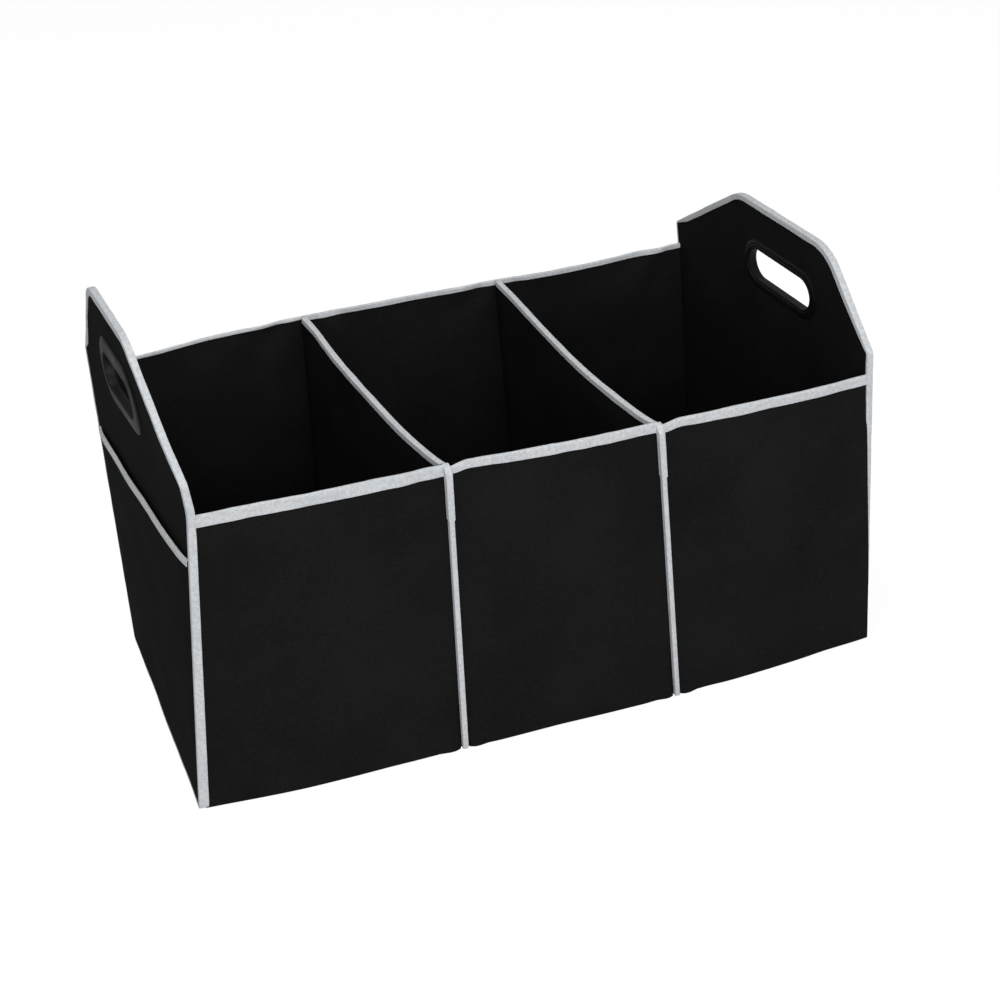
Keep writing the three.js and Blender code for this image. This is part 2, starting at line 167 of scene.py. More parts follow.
# Shift of the top of the left and the right end panel, above its front and its rear edge
HANDLE_SWAY = np.array([
    [[-12.5, 4, 10.5], [-1.5, 4, 6.5]], [[-2, -1, -4.5], [-7, -1, -3]],
], float)
DIVIDER_BOW = np.array([0.0, -7.5, -9.5, 0.0])
DIVIDER_BOW_LEAD = 0.6
WALL_BOW = {"foot": 2.0, "rim": 4.0}
FOOT_SWELL = {"depth": 4.5, "height": 70.0, "seam": 14.0, "end": 110.0}
RIM_SOFTNESS = 6.0  # over how much height a panel turns at the rim

RIM_TAPE_TURN = 0.78  # share of the turn at a seam that the end of a rim tape follows
SEAM_TAPE_DROP = 3.0  # of a front seam tape's top under the rim, where the tail covers it
TAIL_RADIUS = 2.6  # at which the rim tape's tail turns down
TAIL_LIFT = 0.08  # between the tail and the tape under it

# Stage: lamps (place, size) in metres, the camera in millimetres of the true box, and the floor
LAMPS = {"key": ((-0.3, -2.9, 1.2), 2.0), "top": ((-0.65, -0.3, 2.7), 2.2)}
CAMERA_AT = (-614.5, -1607.2, 1076.1)
CAMERA_AHEAD = (0.32155, 0.81558, -0.48108)
CAMERA_TILT = -2.785  # degrees
FLOOR_REACH = 14.0
FLOOR_DROP = 0.0006
FLOOR_GLOW = {"share": 0.7, "strength": 1.28}  # of what the camera sees of the floor

BAY_NAMES = ("left", "centre", "right")
SIDES = {"front": 1.0, "rear": -1.0}
ENDS = {"left_end": -1.0, "right_end": 1.0}


def seam_x(index):
    return LENGTH * (index / BAYS - 0.5)


def mm(value):
    return value * 1000


def mix(a, b, share):
    return a + (b - a) * share


def ease(value, low, high):
    """0 up to low, 1 from high on, and smooth in between."""
    t = np.clip((value - low) / (high - low), 0.0, 1.0)
    return t * t * (3 - 2 * t)


def grid_of(rows, columns):
    return np.meshgrid(rows, columns, indexing="ij")


def ripples(seed, shortest, longest, count=8):
    """Smooth unevenness that is the same each run: a sum of waves, about 1 high."""
    chance = np.random.default_rng(seed)
    length = np.exp(chance.uniform(math.log(shortest), math.log(longest), count))
    turn = chance.uniform(0, 2 * math.pi, count)
    start = chance.uniform(0, 2 * math.pi, count)

    def height(u, v=0.0):
        total = 0.0
        for k in range(count):
            way = u * math.cos(turn[k]) + v * math.sin(turn[k])
            total = total + np.sin(way * 2 * math.pi / length[k] + start[k])
        return total / math.sqrt(2 * count)

    return height


# Settled bag

def settle(points):
    """Moves points of the true box, in millimetres, to where the settled bag has them."""
    x, y, z = points[..., 0], points[..., 1], points[..., 2]
    across = np.clip(x / LENGTH + 0.5, 0, 1) * BAYS
    bay = np.minimum(across.astype(int), BAYS - 1)
    in_bay = across - bay
    to_rear = np.clip(y / WIDTH + 0.5, 0, 1)
    above = z - RIM
    turn = np.clip(above + RIM_SOFTNESS, 0, 2 * RIM_SOFTNESS) ** 2 / (4 * RIM_SOFTNESS)
    above = np.where(above > RIM_SOFTNESS, above, turn)
    to_rim = np.minimum((z - above) / RIM, 1.0)
    arch = np.sin(np.pi * np.clip(y / (2 * WALL_INSIDE) + 0.5, 0, 1) ** DIVIDER_BOW_LEAD)
    shift = []
    for axis in (0, 1):
        at_panel = []
        for panel in (bay, bay + 1):
            low = mix(FOOT_SHIFT[panel, 0, axis], FOOT_SHIFT[panel, 1, axis], to_rear)
            high = mix(RIM_SHIFT[panel, 0, axis], RIM_SHIFT[panel, 1, axis], to_rear)
            bow = DIVIDER_BOW[panel] * arch * to_rim if axis == 0 else 0.0
            at_panel.append(mix(low, high, to_rim) + bow)
        shift.append(mix(at_panel[0], at_panel[1], in_bay))
    swell = FOOT_SWELL["depth"] * np.maximum(1 - z / FOOT_SWELL["height"], 0) ** 2
    for panel in (bay, bay + 1):
        away = BAY_LENGTH * np.abs(across - panel)
        at_end = (panel == 0) | (panel == BAYS)
        share = np.where(at_end, away / FOOT_SWELL["end"], (away - TURN_END) / FOOT_SWELL["seam"])
        swell = swell * np.sin(np.pi / 2 * np.clip(share, 0, 1))
    bow = mix(WALL_BOW["foot"], WALL_BOW["rim"], to_rim) * np.sin(np.pi * in_bay)
    bulge = (bow + swell) * (2 * to_rear - 1)
    sway = HANDLE_SWAY[(x > 0).astype(int)]
    sway = mix(sway[..., 0, :], sway[..., 1, :], to_rear[..., None])
    sway = sway * (above / HANDLE_RISE)[..., None]
    return np.stack([x + shift[0], y + shift[1] + bulge, z], -1) + sway


def frame_offset():
    """How far the solid model was moved to put its origin under its middle, in millimetres."""
    x, y = grid_of(np.linspace(-WALL_END, WALL_END, 61), np.linspace(-BASE_REACH, BASE_REACH, 31))
    own = settle(np.stack([x, y, np.zeros_like(x)], -1)).reshape(-1, 3)
    low, high = (mm(np.array(corner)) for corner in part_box("base_fabric"))
    return np.array([*(low - own.min(0))[:2] / 2 + (high - own.max(0))[:2] / 2, 0.0])


OFFSET = frame_offset()


# Meshes

def to_frame(points):
    """From the true box in millimetres to the settled bag in the frame, in metres."""
    return (settle(points) + OFFSET) / 1000


def make_piece(name, points, faces, finish, slot=None, uv=None, sharp=50.0):
    """An object from points in metres and faces, riding on the one body of the part, with its
    finish as its material. slot is not used."""
    mesh = bpy.data.meshes.new(name)
    mesh.from_pydata(points.reshape(-1, 3).tolist(), [], faces)
    mesh.validate()
    mesh.polygons.foreach_set("use_smooth", [True] * len(mesh.polygons))
    mesh.set_sharp_from_angle(angle=math.radians(sharp))
    if uv is not None:
        layer = mesh.uv_layers.new(name="cloth")
        corners = np.zeros(len(mesh.loops), np.int32)
        mesh.loops.foreach_get("vertex_index", corners)
        layer.data.foreach_set("uv", uv.reshape(-1, 2)[corners].astype(np.float32).ravel())
    mesh.materials.append(finish_of(finish))
    piece = bpy.data.objects.new(name, mesh)
    bpy.context.scene.collection.objects.link(piece)
    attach(piece, "root")
    slot or finish
    return piece


def grid_faces(rows, columns, start=0, closed=False, flip=False, tube=False):
    """Quads over a grid of points that is numbered row by row from start. Closed, its last row
    joins the first, and as a tube its last column joins the first too."""
    faces = []
    for i in range(rows if closed else rows - 1):
        a, b = start + i * columns, start + (i + 1) % rows * columns
        for j in range(columns if tube else columns - 1):
            k = (j + 1) % columns
            faces.append((a + j, a + k, b + k, b + j) if flip else (a + j, b + j, b + k, a + k))
    return faces


def sheet_solid(front, back, closed=False):
    """Points and faces of a thin solid between two like grids (rows, columns, 3)."""
    rows, columns = front.shape[:2]
    count = rows * columns
    faces = grid_faces(rows, columns, closed=closed)
    faces += grid_faces(rows, columns, count, closed, flip=True)
    edges = []
    for j in (0, columns - 1):
        line = [i * columns + j for i in range(rows)]
        line += line[:1] if closed else []
        edges.append((line, j == 0))
    if not closed:
        edges.append((list(range(columns)), False))
        edges.append(([(rows - 1) * columns + j for j in range(columns)], True))
    for line, forward in edges:
        for a, b in zip(line, line[1:]):
            quad = (a, b, b + count, a + count)
            faces.append(quad if not forward else quad[::-1])
    points = np.concatenate([front.reshape(-1, 3), back.reshape(-1, 3)])
    return outward(points, faces)


def outward(points, faces):
    """Turns the faces of a closed solid so that they face out."""
    corners = np.array([[f[0], f[1], f[2]] for f in faces] + [[f[0], f[2], f[3]] for f in faces])
    a, b, c = (points[corners[:, k]] for k in range(3))
    if np.einsum("ij,ij->i", a, np.cross(b, c)).sum() < 0:
        faces = [f[::-1] for f in faces]
    return points, faces


def lay_uv(front):
    """Cloth coordinates in metres for both faces of a sheet, from the run of its points."""
    down = np.linalg.norm(np.diff(front, axis=0), axis=2).mean(1)
    along = np.linalg.norm(np.diff(front, axis=1), axis=2).mean(0)
    u = np.concatenate([[0], np.cumsum(down)])[:, None] * np.ones(front.shape[1])[None]
    v = np.concatenate([[0], np.cumsum(along)])[None] * np.ones(front.shape[0])[:, None]
    one = np.stack([u, v], -1).reshape(-1, 2)
    return np.concatenate([one, one])


def cut_of(front):
    """Width and length that a sheet is cut to, in metres, from the run of its settled points."""
    points = to_frame(front)
    width = np.linalg.norm(np.diff(points, axis=0), axis=2).sum(0).mean()
    length = np.linalg.norm(np.diff(points, axis=1), axis=2).sum(1).mean()
    return float(width), float(length)


def cloth_piece(name, layers, finish, slot=None, closed=False, uv=None, sharp=50.0):
    """A sheet between two grids of points of the true box, its front and its back."""
    front, back = (to_frame(layer) for layer in layers)
    points, faces = sheet_solid(front, back, closed)
    uv = lay_uv(front) if uv is None else uv
    return make_piece(name, points, faces, finish, slot, uv, sharp)


def spread(path, step, closed=False):
    """Even points along a polyline (n, 2), no further apart than step, with its corners kept."""
    path = np.asarray(path, float)
    ends = np.concatenate([path, path[:1]]) if closed else path
    points = []
    for a, b in zip(ends, ends[1:]):
        count = max(math.ceil(np.linalg.norm(b - a) / step - 1e-6), 1)
        points += [mix(a, b, k / count) for k in range(count)]
    return np.array(points if closed else points + [ends[-1]])


def mitres(path, closed=False):
    """For each point of a path (n, 2), the way to its right, lengthened at the corners."""
    step = np.diff(np.concatenate([path, path[:1]]) if closed else path, axis=0)
    right = np.stack([step[:, 1], -step[:, 0]], 1)
    right /= np.linalg.norm(right, axis=1, keepdims=True)
    before = np.roll(right, 1, 0) if closed else np.concatenate([right[:1], right])
    after = right if closed else np.concatenate([right, right[-1:]])
    return (before + after) / (1 + (before * after).sum(1))[:, None]


def run_of(path):
    """Distance along a path to each of its points."""
    return np.concatenate([[0], np.cumsum(np.linalg.norm(np.diff(path, axis=0), axis=1))])


def rounded(corners, step, arc_step=1.6):
    """A closed outline from corners (point, radius)."""
    points = []
    for i, (at, radius) in enumerate(corners):
        at = np.array(at, float)
        back = np.array(corners[i - 1][0]) - at
        on = np.array(corners[(i + 1) % len(corners)][0]) - at
        back, on = back / np.linalg.norm(back), on / np.linalg.norm(on)
        half = math.acos(float(back @ on)) / 2
        middle = (back + on) / np.linalg.norm(back + on) * radius / math.sin(half) + at
        start = back * radius / math.tan(half) + at - middle
        turn = math.pi - 2 * half
        steps = max(math.ceil(turn * radius / arc_step), 4)
        for k in range(steps + 1):
            c, s = math.cos(turn * k / steps), math.sin(turn * k / steps)
            points.append(middle + np.array([[c, -s], [s, c]]) @ start)
    return spread(points, step, True)


def fold_line(low, high, reach_low, reach_high, stand, bend, legs=3, turns=4):
    """Section of a tape folded over an edge, for each place along it: (places, points, 2) as
    (out past the edge, across the layers), from the tape's low edge over the fold."""
    low, reach_low, reach_high, stand = (
        np.atleast_1d(a)[:, None] for a in (low, reach_low, reach_high, stand))
    down = np.linspace(1, 0, legs + 1)[None, :-1]
    angle = np.linspace(0, math.pi / 2, turns + 1)[None]
    start = stand - bend
    low_out = start - (start + reach_low) * down
    high_out = (start - (start + reach_high) * down)[:, ::-1]
    out = np.concatenate([
        low_out, start + bend * np.sin(angle), start + bend * np.cos(angle), high_out,
    ], 1)
    across = np.concatenate([
        low - stand + 0 * low_out,
        low - stand + bend * (1 - np.cos(angle)),
        high + stand - bend * (1 - np.sin(angle)),
        high + stand + 0 * high_out,
    ], 1)
    return np.stack([out + 0 * across, across + 0 * out], -1)


def folded_tape(name, path, low, high, reach, place, seeds, closed=False, stand=(WRAP, CLEARANCE),
                stitched=(True, True), uneven=1.0, bend=0.75, apart=31, from_above=False):
    """A tape folded over the edge that runs along path, with its stitches. reach is (low leg,
    high leg), as numbers or for each point of the path. place takes the path's points moved
    aside, and how far across the layers they lie. Where the path is drawn from above, its points
    move across the layers instead, and place takes how far they lie past the edge."""
    run = run_of(path)
    settings = bpy.context.scene.organizer_tape
    wave, edge = ripples(seeds[0], 14, 70), ripples(seeds[1], 18, 90)
    total = run[-1] + np.linalg.norm(path[0] - path[-1])
    close = np.sin(np.pi * run / total) ** 0.3 if closed else np.ones_like(run)
    puff = uneven * mm(settings.ripple) * (0.5 + 0.5 * wave(run)) * close
    reaches = [reach[k] * (1 + 0.03 * edge(run + apart * k) * close) for k in (0, 1)]
    aside = mitres(path, closed)
    moved = int(from_above)
    layers = []
    for off, turn, share in ((stand[0], bend, 1.0), (stand[1], 0.3, 0.8)):
        line = fold_line(low, high, reaches[0], reaches[1], off + share * puff, turn)
        flat = path[:, None] + aside[:, None] * line[..., moved:moved + 1]
        layers.append(place(flat[..., 0], flat[..., 1], line[..., 1 - moved]))
    tape = cloth_piece(name, layers, "tape", closed=closed, sharp=70.0)
    stitches = stitch_rows(name, to_frame(layers[0]), to_frame(layers[1]), closed, stitched)
    return [tape] + ([stitches] if stitches else [])


def sample(values, run, where):
    """Rows of values (n, 3) read off at distances along their run."""
    return np.stack([np.interp(where, run, values[:, k]) for k in range(3)], -1)


def stitch_rows(name, surface, under, closed, stitched):
    """Rows of stitches along the free edges of a tape, given its outer and its inner surface
    (along, across, 3) in metres. Each stitch is a small spindle half sunk in the tape."""
    settings = bpy.context.scene.organizer_tape
    points, faces = [], []
    for side, wanted in enumerate(stitched):
        if not wanted:
            continue
        edge, inner = (surface[:, k] for k in ((0, 1), (-1, -2))[side])
        up = surface[:, -side] - under[:, -side]
        if closed:
            edge, inner, up = (np.concatenate([line, line[:1]]) for line in (edge, inner, up))
        step = np.linalg.norm(inner - edge, axis=1, keepdims=True)
        row = edge + (inner - edge) * np.minimum(settings.stitch_inset / np.maximum(step, 1e-6), 1)
        run = run_of(row)
        up /= np.linalg.norm(up, axis=1, keepdims=True)
        begins = np.arange(settings.stitch, run[-1] - 2 * settings.stitch, settings.stitch)
        if not len(begins):
            continue
        long = settings.stitch * 0.84
        stations = [sample(row, run, begins + long * share) for share in (0.0, 0.28, 0.72, 1.0)]
        normal = sample(up, run, begins + long / 2)
        side_way = np.cross(normal, stations[3] - stations[0])
        side_way /= np.linalg.norm(side_way, axis=1, keepdims=True)
        wide, high = settings.thread * 0.6, settings.thread * 0.5
        rings = [stations[0] - normal * high]
        for station in stations[1:3]:
            rings += [station + side_way * wide, station + normal * high,
                      station - side_way * wide, station - normal * high]
        rings.append(stations[3] - normal * high)
        start = sum(len(block) for block in points)
        block = np.stack(rings, 1)
        points.append(block.reshape(-1, 3))
        for k in range(len(begins)):
            base = start + 10 * k
            for j in range(4):
                a, b = base + 1 + j, base + 1 + (j + 1) % 4
                faces += [(base, b, a), (a, b, b + 4, a + 4), (a + 4, b + 4, base + 9)]
    if not points:
        return None
    return make_piece(name + "_stitches", np.concatenate(points), faces, "thread", "tape")


# Finishes

class Wiring:
    """Short ways to make and wire the nodes of a material or a world."""

    def __init__(self, owner, output):
        owner.use_nodes = True
        self.tree = owner.node_tree
        self.tree.nodes.clear()
        self.output = self.node(output)

    def node(self, kind, sockets=None, **settings):
        """A new node. sockets gives for each of its inputs a value, or an output to wire to it."""
        made = self.tree.nodes.new(kind)
        for key, value in settings.items():
            setattr(made, key, value)
        for key, value in (sockets or {}).items():
            self.put(value, made.inputs[key])
        return made

    def put(self, value, socket):
        if hasattr(value, "links"):
            self.tree.links.new(value, socket)
        else:
            socket.default_value = value

    def show(self, shader):
        self.put(shader, self.output.inputs["Surface"])

    def math(self, operation, a, b=0.0):
        return self.node("ShaderNodeMath", {0: a, 1: b}, operation=operation).outputs[0]

    def for_camera(self, seen, otherwise, share=1.0):
        """Shows a share of one shader to the camera, and the other to all other rays."""
        rays = self.node("ShaderNodeLightPath").outputs["Is Camera Ray"]
        share = self.math("MULTIPLY", rays, share)
        sockets = {0: share, 1: otherwise.outputs[0], 2: seen.outputs[0]}
        self.show(self.node("ShaderNodeMixShader", sockets).outputs[0])


class Finish(Wiring):
    """A material with one shader, and short ways to its usual nodes."""

    def __init__(self, name):
        self.material = bpy.data.materials.new(name)
        super().__init__(self.material, "ShaderNodeOutputMaterial")
        self.shader = self.node("ShaderNodeBsdfPrincipled")
        self.show(self.shader.outputs[0])

    def set(self, **values):
        for name, value in values.items():
            self.put(value, self.shader.inputs[name.replace("_", " ")])

    def place(self, kind="Object"):
        return self.node("ShaderNodeTexCoord").outputs[kind]

    def scaled(self, vector, scale, turn=0.0):
        sockets = {"Vector": vector, "Scale": scale, "Rotation": (0, 0, turn)}
        return self.node("ShaderNodeMapping", sockets).outputs[0]

    def noise(self, vector, scale, detail=3.0, roughness=0.55):
        sockets = {"Vector": vector, "Scale": scale, "Detail": detail, "Roughness": roughness}
        return self.node("ShaderNodeTexNoise", sockets).outputs["Fac"]

    def band(self, value, low, high, to_low=0.0, to_high=1.0):
        sockets = {0: value, 1: low, 2: high, 3: to_low, 4: to_high}
        made = self.node("ShaderNodeMapRange", sockets, interpolation_type="SMOOTHSTEP")
        return made.outputs[0]

    def blend(self, share, first, second, kind="MIX"):
        sockets = {0: share, 6: first, 7: second}
        return self.node("ShaderNodeMix", sockets, data_type="RGBA", blend_type=kind).outputs[2]

    def mottled(self, mask, color, dark, light):
        first, second = ((*(part * factor for part in color), 1.0) for factor in (dark, light))
        return self.blend(mask, first, second)

    def bump(self, height, strength, distance, under=None):
        sockets = {"Height": height, "Strength": strength, "Distance": distance}
        if under is not None:
            sockets["Normal"] = under
        return self.node("ShaderNodeBump", sockets).outputs[0]


def nonwoven(name, color, pitch):
    """Spun-bonded cloth: matted fibres, pressed with staggered rows of small ovals."""
    finish = Finish(name)
    cloth = finish.place("UV")
    turned = finish.scaled(cloth, (math.pi / pitch,) * 3, math.radians(45))
    wave = finish.node("ShaderNodeSeparateXYZ", {0: turned})
    across, along = (
        finish.math("ABSOLUTE", finish.math("SINE", wave.outputs[k])) for k in (0, 1))
    press = finish.band(finish.math("MULTIPLY", across, along), 0.25, 0.85)
    fibres = finish.noise(finish.scaled(cloth, (2600.0, 900.0, 1.0), 0.4), 1.0, 4.0, 0.7)
    body = finish.place()
    patches = finish.noise(body, 9.0, 4.0, 0.6)
    specks = finish.noise(body, 420.0, 2.0, 0.6)
    tone = finish.math(
        "ADD", finish.math("MULTIPLY", patches, 0.6), finish.math("MULTIPLY", specks, 0.4))
    creases = finish.noise(body, 38.0, 3.0, 0.55)
    base = finish.bump(creases, 0.25, 0.0012)
    fine = finish.bump(fibres, 0.3, 0.00012, base)
    finish.set(
        Base_Color=finish.mottled(finish.band(tone, 0.36, 0.64), color, 0.82, 1.22),
        Roughness=finish.band(patches, 0.3, 0.7, 0.66, 0.8),
        Normal=finish.bump(press, 0.4, 0.00018, fine),
        Specular_IOR_Level=0.01)
    return finish.material


def edge_tape(name, color):
    """Pale binding tape: fine cross ribs, mottled and faintly soiled where it is handled."""
    finish = Finish(name)
    ribs_and_weft = (2 * math.pi / 0.0011, 2 * math.pi / 0.0009, 1.0)
    cloth = finish.scaled(finish.place("UV"), ribs_and_weft)
    split = finish.node("ShaderNodeSeparateXYZ", {0: cloth})
    ribs, weft = (finish.math("SINE", split.outputs[k]) for k in (0, 1))
    body = finish.place()
    mottle = finish.noise(body, 380.0, 4.0, 0.7)
    soil = finish.noise(body, 14.0, 4.0, 0.6)
    light = finish.mottled(finish.band(mottle, 0.34, 0.66), color, 0.86, 1.08)
    worn = finish.blend(finish.band(soil, 0.5, 0.75), (1, 1, 1, 1), (0.88, 0.9, 0.93, 1))
    rows = finish.bump(ribs, 0.35, 0.00012)
    weave = finish.bump(weft, 0.25, 0.0001, rows)
    finish.set(
        Base_Color=finish.blend(1.0, light, worn, "MULTIPLY"),
        Normal=finish.bump(mottle, 0.3, 0.00025, weave),
        Roughness=0.82, Specular_IOR_Level=0.25, Sheen_Weight=0.08, Sheen_Roughness=0.45)
    return finish.material


def moulded(name, color, roughness):
    """Satin moulded plastic with a fine grain and rub marks."""
    finish = Finish(name)
    body = finish.place()
    grain = finish.noise(body, 900.0, 2.0, 0.5)
    rubs = finish.noise(body, 26.0, 5.0, 0.65)
    finish.set(
        Base_Color=finish.mottled(finish.band(rubs, 0.4, 0.7), color, 0.85, 1.3),
        Roughness=finish.band(rubs, 0.3, 0.7, roughness - 0.05, roughness + 0.08),
        Normal=finish.bump(grain, 0.2, 0.00012),
        Specular_IOR_Level=0.2)
    return finish.material


def pressed_board(name, color):
    """Grey-brown board of pressed fibres."""
    finish = Finish(name)
    body = finish.place()
    fibres = finish.noise(finish.scaled(body, (1.0, 4.0, 1.0)), 260.0, 5.0, 0.7)
    flecks = finish.noise(body, 900.0, 2.0, 0.6)
    finish.set(
        Base_Color=finish.mottled(finish.band(fibres, 0.35, 0.65), color, 0.75, 1.35),
        Normal=finish.bump(flecks, 0.3, 0.0003),
        Roughness=0.88)
    return finish.material


def sewing_thread(name, color):
    """Twisted thread."""
    finish = Finish(name)
    sockets = {"Vector": finish.place(), "Scale": 900.0}
    twist = finish.node("ShaderNodeTexWave", sockets, bands_direction="DIAGONAL").outputs["Fac"]
    finish.set(
        Base_Color=finish.mottled(twist, color, 0.8, 1.1),
        Normal=finish.bump(twist, 0.4, 0.0001),
        Roughness=0.6)
    return finish.material


def finish_of(slot):
    """The finish for a material slot, made once."""
    name = "organizer_" + slot
    if name in bpy.data.materials:
        return bpy.data.materials[name]
    scene = bpy.context.scene
    cloth, tape, grip = scene.organizer_cloth, scene.organizer_tape, scene.organizer_grip
    if slot == "fabric":
        return nonwoven(name, cloth.outside_color, cloth.press_pitch)
    # The inside cloth is the outside cloth with painted light: its colour is set lighter for the
    # shade inside the bag.
    if slot == "lining":
        return nonwoven(name, cloth.inside_lit_color, cloth.press_pitch)
    if slot == "tape":
        return edge_tape(name, tape.color)
    if slot == "thread":
        return sewing_thread(name, tape.thread_color)
    if slot == "board":
        return pressed_board(name, cloth.board_color)
    return moulded(name, grip.color, grip.roughness)


# End panels

def end_outline(step):
    """Outline of an end panel as (y, z), running counter-clockwise from the front foot."""
    return rounded([
        ((-WIDTH / 2, WRAP), FOOT_RADIUS),
        ((WIDTH / 2, WRAP), FOOT_RADIUS),
        ((WIDTH / 2, RIM + SHOULDER_RISE), SHOULDER_RADIUS),
        ((CROWN_SHIFT + CROWN_WIDTH / 2, CROWN_TOP), CROWN_RADIUS),
        ((CROWN_SHIFT - CROWN_WIDTH / 2, CROWN_TOP), CROWN_RADIUS),
        ((-WIDTH / 2, RIM + SHOULDER_RISE), SHOULDER_RADIUS),
    ], step)


def grip_distance(y, z):
    """How far a point of an end panel lies from the edge of the grip's opening."""
    aside = np.maximum(np.abs(y - GRIP_MIDDLE[0]) - GRIP_STRAIGHT, 0)
    return np.hypot(aside, z - GRIP_MIDDLE[1]) - GRIP_HEIGHT / 2


def end_place(end):
    """Turns (y, z, out of the panel) of an end into points. Both ends are the same panel, so
    the right one is the left one turned half round."""
    sway = ripples(40 if end < 0 else 50, 70, 260)
    depth = mm(bpy.context.scene.organizer_cloth.waviness)

    def place(y, z, out):
        inside = np.minimum(WIDTH / 2 - np.abs(y), CROWN_TOP - z)
        border = GRIP_BORDER["outer"]
        calm = ease(inside, 4, 60) * ease(grip_distance(y, z), border + 4, border + 50)
        soft = 0.6 * depth * sway(y, z) * calm
        return np.stack([end * (LENGTH / 2 + out + soft), -end * y, z + 0 * y], -1)

    return place


def end_sheet(name, place, outside, inside, slot, opening):
    """One layer of an end panel, from the grip's cut-out to the outline."""
    edge = end_outline(5.0)
    away = (edge - GRIP_MIDDLE) * (1.8, 1)
    away /= np.linalg.norm(away, axis=1, keepdims=True)
    radius = GRIP_HEIGHT / 2 + COLLAR_WALL + opening
    to_side = radius / np.abs(away[:, 1])
    to_end = GRIP_STRAIGHT * np.abs(away[:, 0])
    to_end = to_end + np.sqrt(np.maximum(radius ** 2 - (GRIP_STRAIGHT * away[:, 1]) ** 2, 0))
    reach = np.where(to_side * np.abs(away[:, 0]) <= GRIP_STRAIGHT, to_side, to_end)
    start = away * reach[:, None] + GRIP_MIDDLE
    bands = np.linspace(0, 1, 25) ** 0.9
    flat = start[:, None] + (edge - start)[:, None] * bands[None, :, None]
    layers = [place(flat[..., 0], flat[..., 1], depth) for depth in (outside, inside)]
    uv = np.concatenate([flat.reshape(-1, 2)] * 2) / 1000
    return cloth_piece(name, layers, slot, closed=True, uv=uv)


def end_tape_reach(path, end):
    """Width of an end panel's tape on its inner and its outer face, at each point of path."""
    width = mm(bpy.context.scene.organizer_tape.end_width)
    to_rear = ease(-end * (path[:, 0] - CROWN_SHIFT), -CROWN_WIDTH / 2, CROWN_WIDTH / 2)
    reach = []
    for face in ("inner", "outer"):
        front, rear = (np.interp(path[:, 1], END_TAPE_HEIGHTS, END_TAPE_SHARES[face, side])
                       for side in SIDES)
        reach.append(width * mix(front, rear, to_rear))
    return reach


def end_flare(path, end):
    """How far an end panel's tape reaches past its inner face, over the end of a wall."""
    front = ease(end * path[:, 0], WIDTH / 2 - 2, WIDTH / 2 - 0.5)
    flare = mix(END_FLARE["foot"], END_FLARE["rim"], np.clip(path[:, 1] / RIM, 0, 1))
    return flare * front * (1 - ease(path[:, 1], RIM - 22, RIM - 10)) * (end < 0)


def panel_area():
    """Area inside an end panel's outline, in square metres."""
    outline = end_outline(8.0)
    y, z = outline[:, 0], outline[:, 1]
    return abs((y * np.roll(z, -1) - z * np.roll(y, -1)).sum()) / 2e6


# Grips

def grip_path(steps=18):
    """Oval round the opening of the grip, counter-clockwise as (y, z)."""
    radius = GRIP_HEIGHT / 2
    points = []
    for side in (1, -1):
        for k in range(steps + 1):
            angle = math.pi * (k / steps - 0.5)
            out = np.array([GRIP_STRAIGHT + math.cos(angle) * radius, math.sin(angle) * radius])
            points.append(out * side + GRIP_MIDDLE)
    return spread(points, 3.0, True)


def grip_crown(start, border, dome):
    """Border of a grip frame, as (out of the opening, off the panel): a low rolled lip, a flat
    face and a rounded fall to a thin rim."""
    shape = [
        (0.0, 0.62), (0.03, 0.84), (0.08, 0.97), (0.14, 1.0), (0.19, 0.95), (0.24, 0.84),
        (0.3, 0.8), (0.45, 0.8), (0.62, 0.78), (0.76, 0.7), (0.86, 0.57), (0.93, 0.42),
        (0.98, 0.26),
    ]
    crown = [(mix(start, border, at), dome * high) for at, high in shape]
    return crown + [(border, CLEARANCE + 0.05)]


def grip_ring(name, section, place):
    """A closed solid ring: section points (out of the opening, off the panel) round the grip."""
    path = grip_path()
    aside = mitres(path, True)
    section = np.array(section)
    flat = path[:, None] + aside[:, None] * section[None, :, :1]
    points = to_frame(place(flat[..., 0], flat[..., 1], section[None, :, 1] + 0 * flat[..., 0]))
    faces = grid_faces(*points.shape[:2], closed=True, tube=True)
    points, faces = outward(points.reshape(-1, 3), faces)
    return make_piece(name, points, faces, "grip", sharp=55.0)


# Walls

def wall_path(index, turned, flange, step=4.0):
    """Plan of one wall from left to right: flange, turn, straight run, turn, flange. turned and
    flange are for its left and its right end, as shares of the quarter turn and True or False."""
    radius = SEAM_TURN + WALL_FABRIC / 2

    def corner(seam, side, share, out):
        x = seam_x(seam) + side * FLANGE_OFFSET
        middle = np.array([x + side * radius, -WALL_LINE - radius])
        angles = share * math.pi / 2 * (1 - np.arange(7) / 6)
        arc = [middle + radius * np.array([-side * math.sin(a), math.cos(a)]) for a in angles]
        return [np.array([x, -FIN_EDGE]), *arc] if out else arc

    if index == 0:
        first = [np.array([-WALL_END, -WALL_LINE])]
    else:
        first = corner(index, 1, turned[0], flange[0])
    if index == BAYS - 1:
        last = [np.array([WALL_END, -WALL_LINE])]
    else:
        last = corner(index + 1, -1, turned[1], flange[1])[::-1]
    return spread([*first, *last], step)


def fan(x, z, at, spokes, depth, size, seed):
    """Puckers that fan out from a sewn corner."""
    dx, dz = x - at[0], z - at[1]
    far = np.hypot(dx, dz)
    chance = np.random.default_rng(seed)
    turn = np.arctan2(dz, dx) * spokes + chance.uniform(0, 6.28)
    turn = turn + 1.3 * np.sin(far / size * 2.2 + seed)
    fade = np.exp(-(far / size) ** 2) * ease(far, 2, size * 0.35)
    return depth * np.sin(turn) * fade


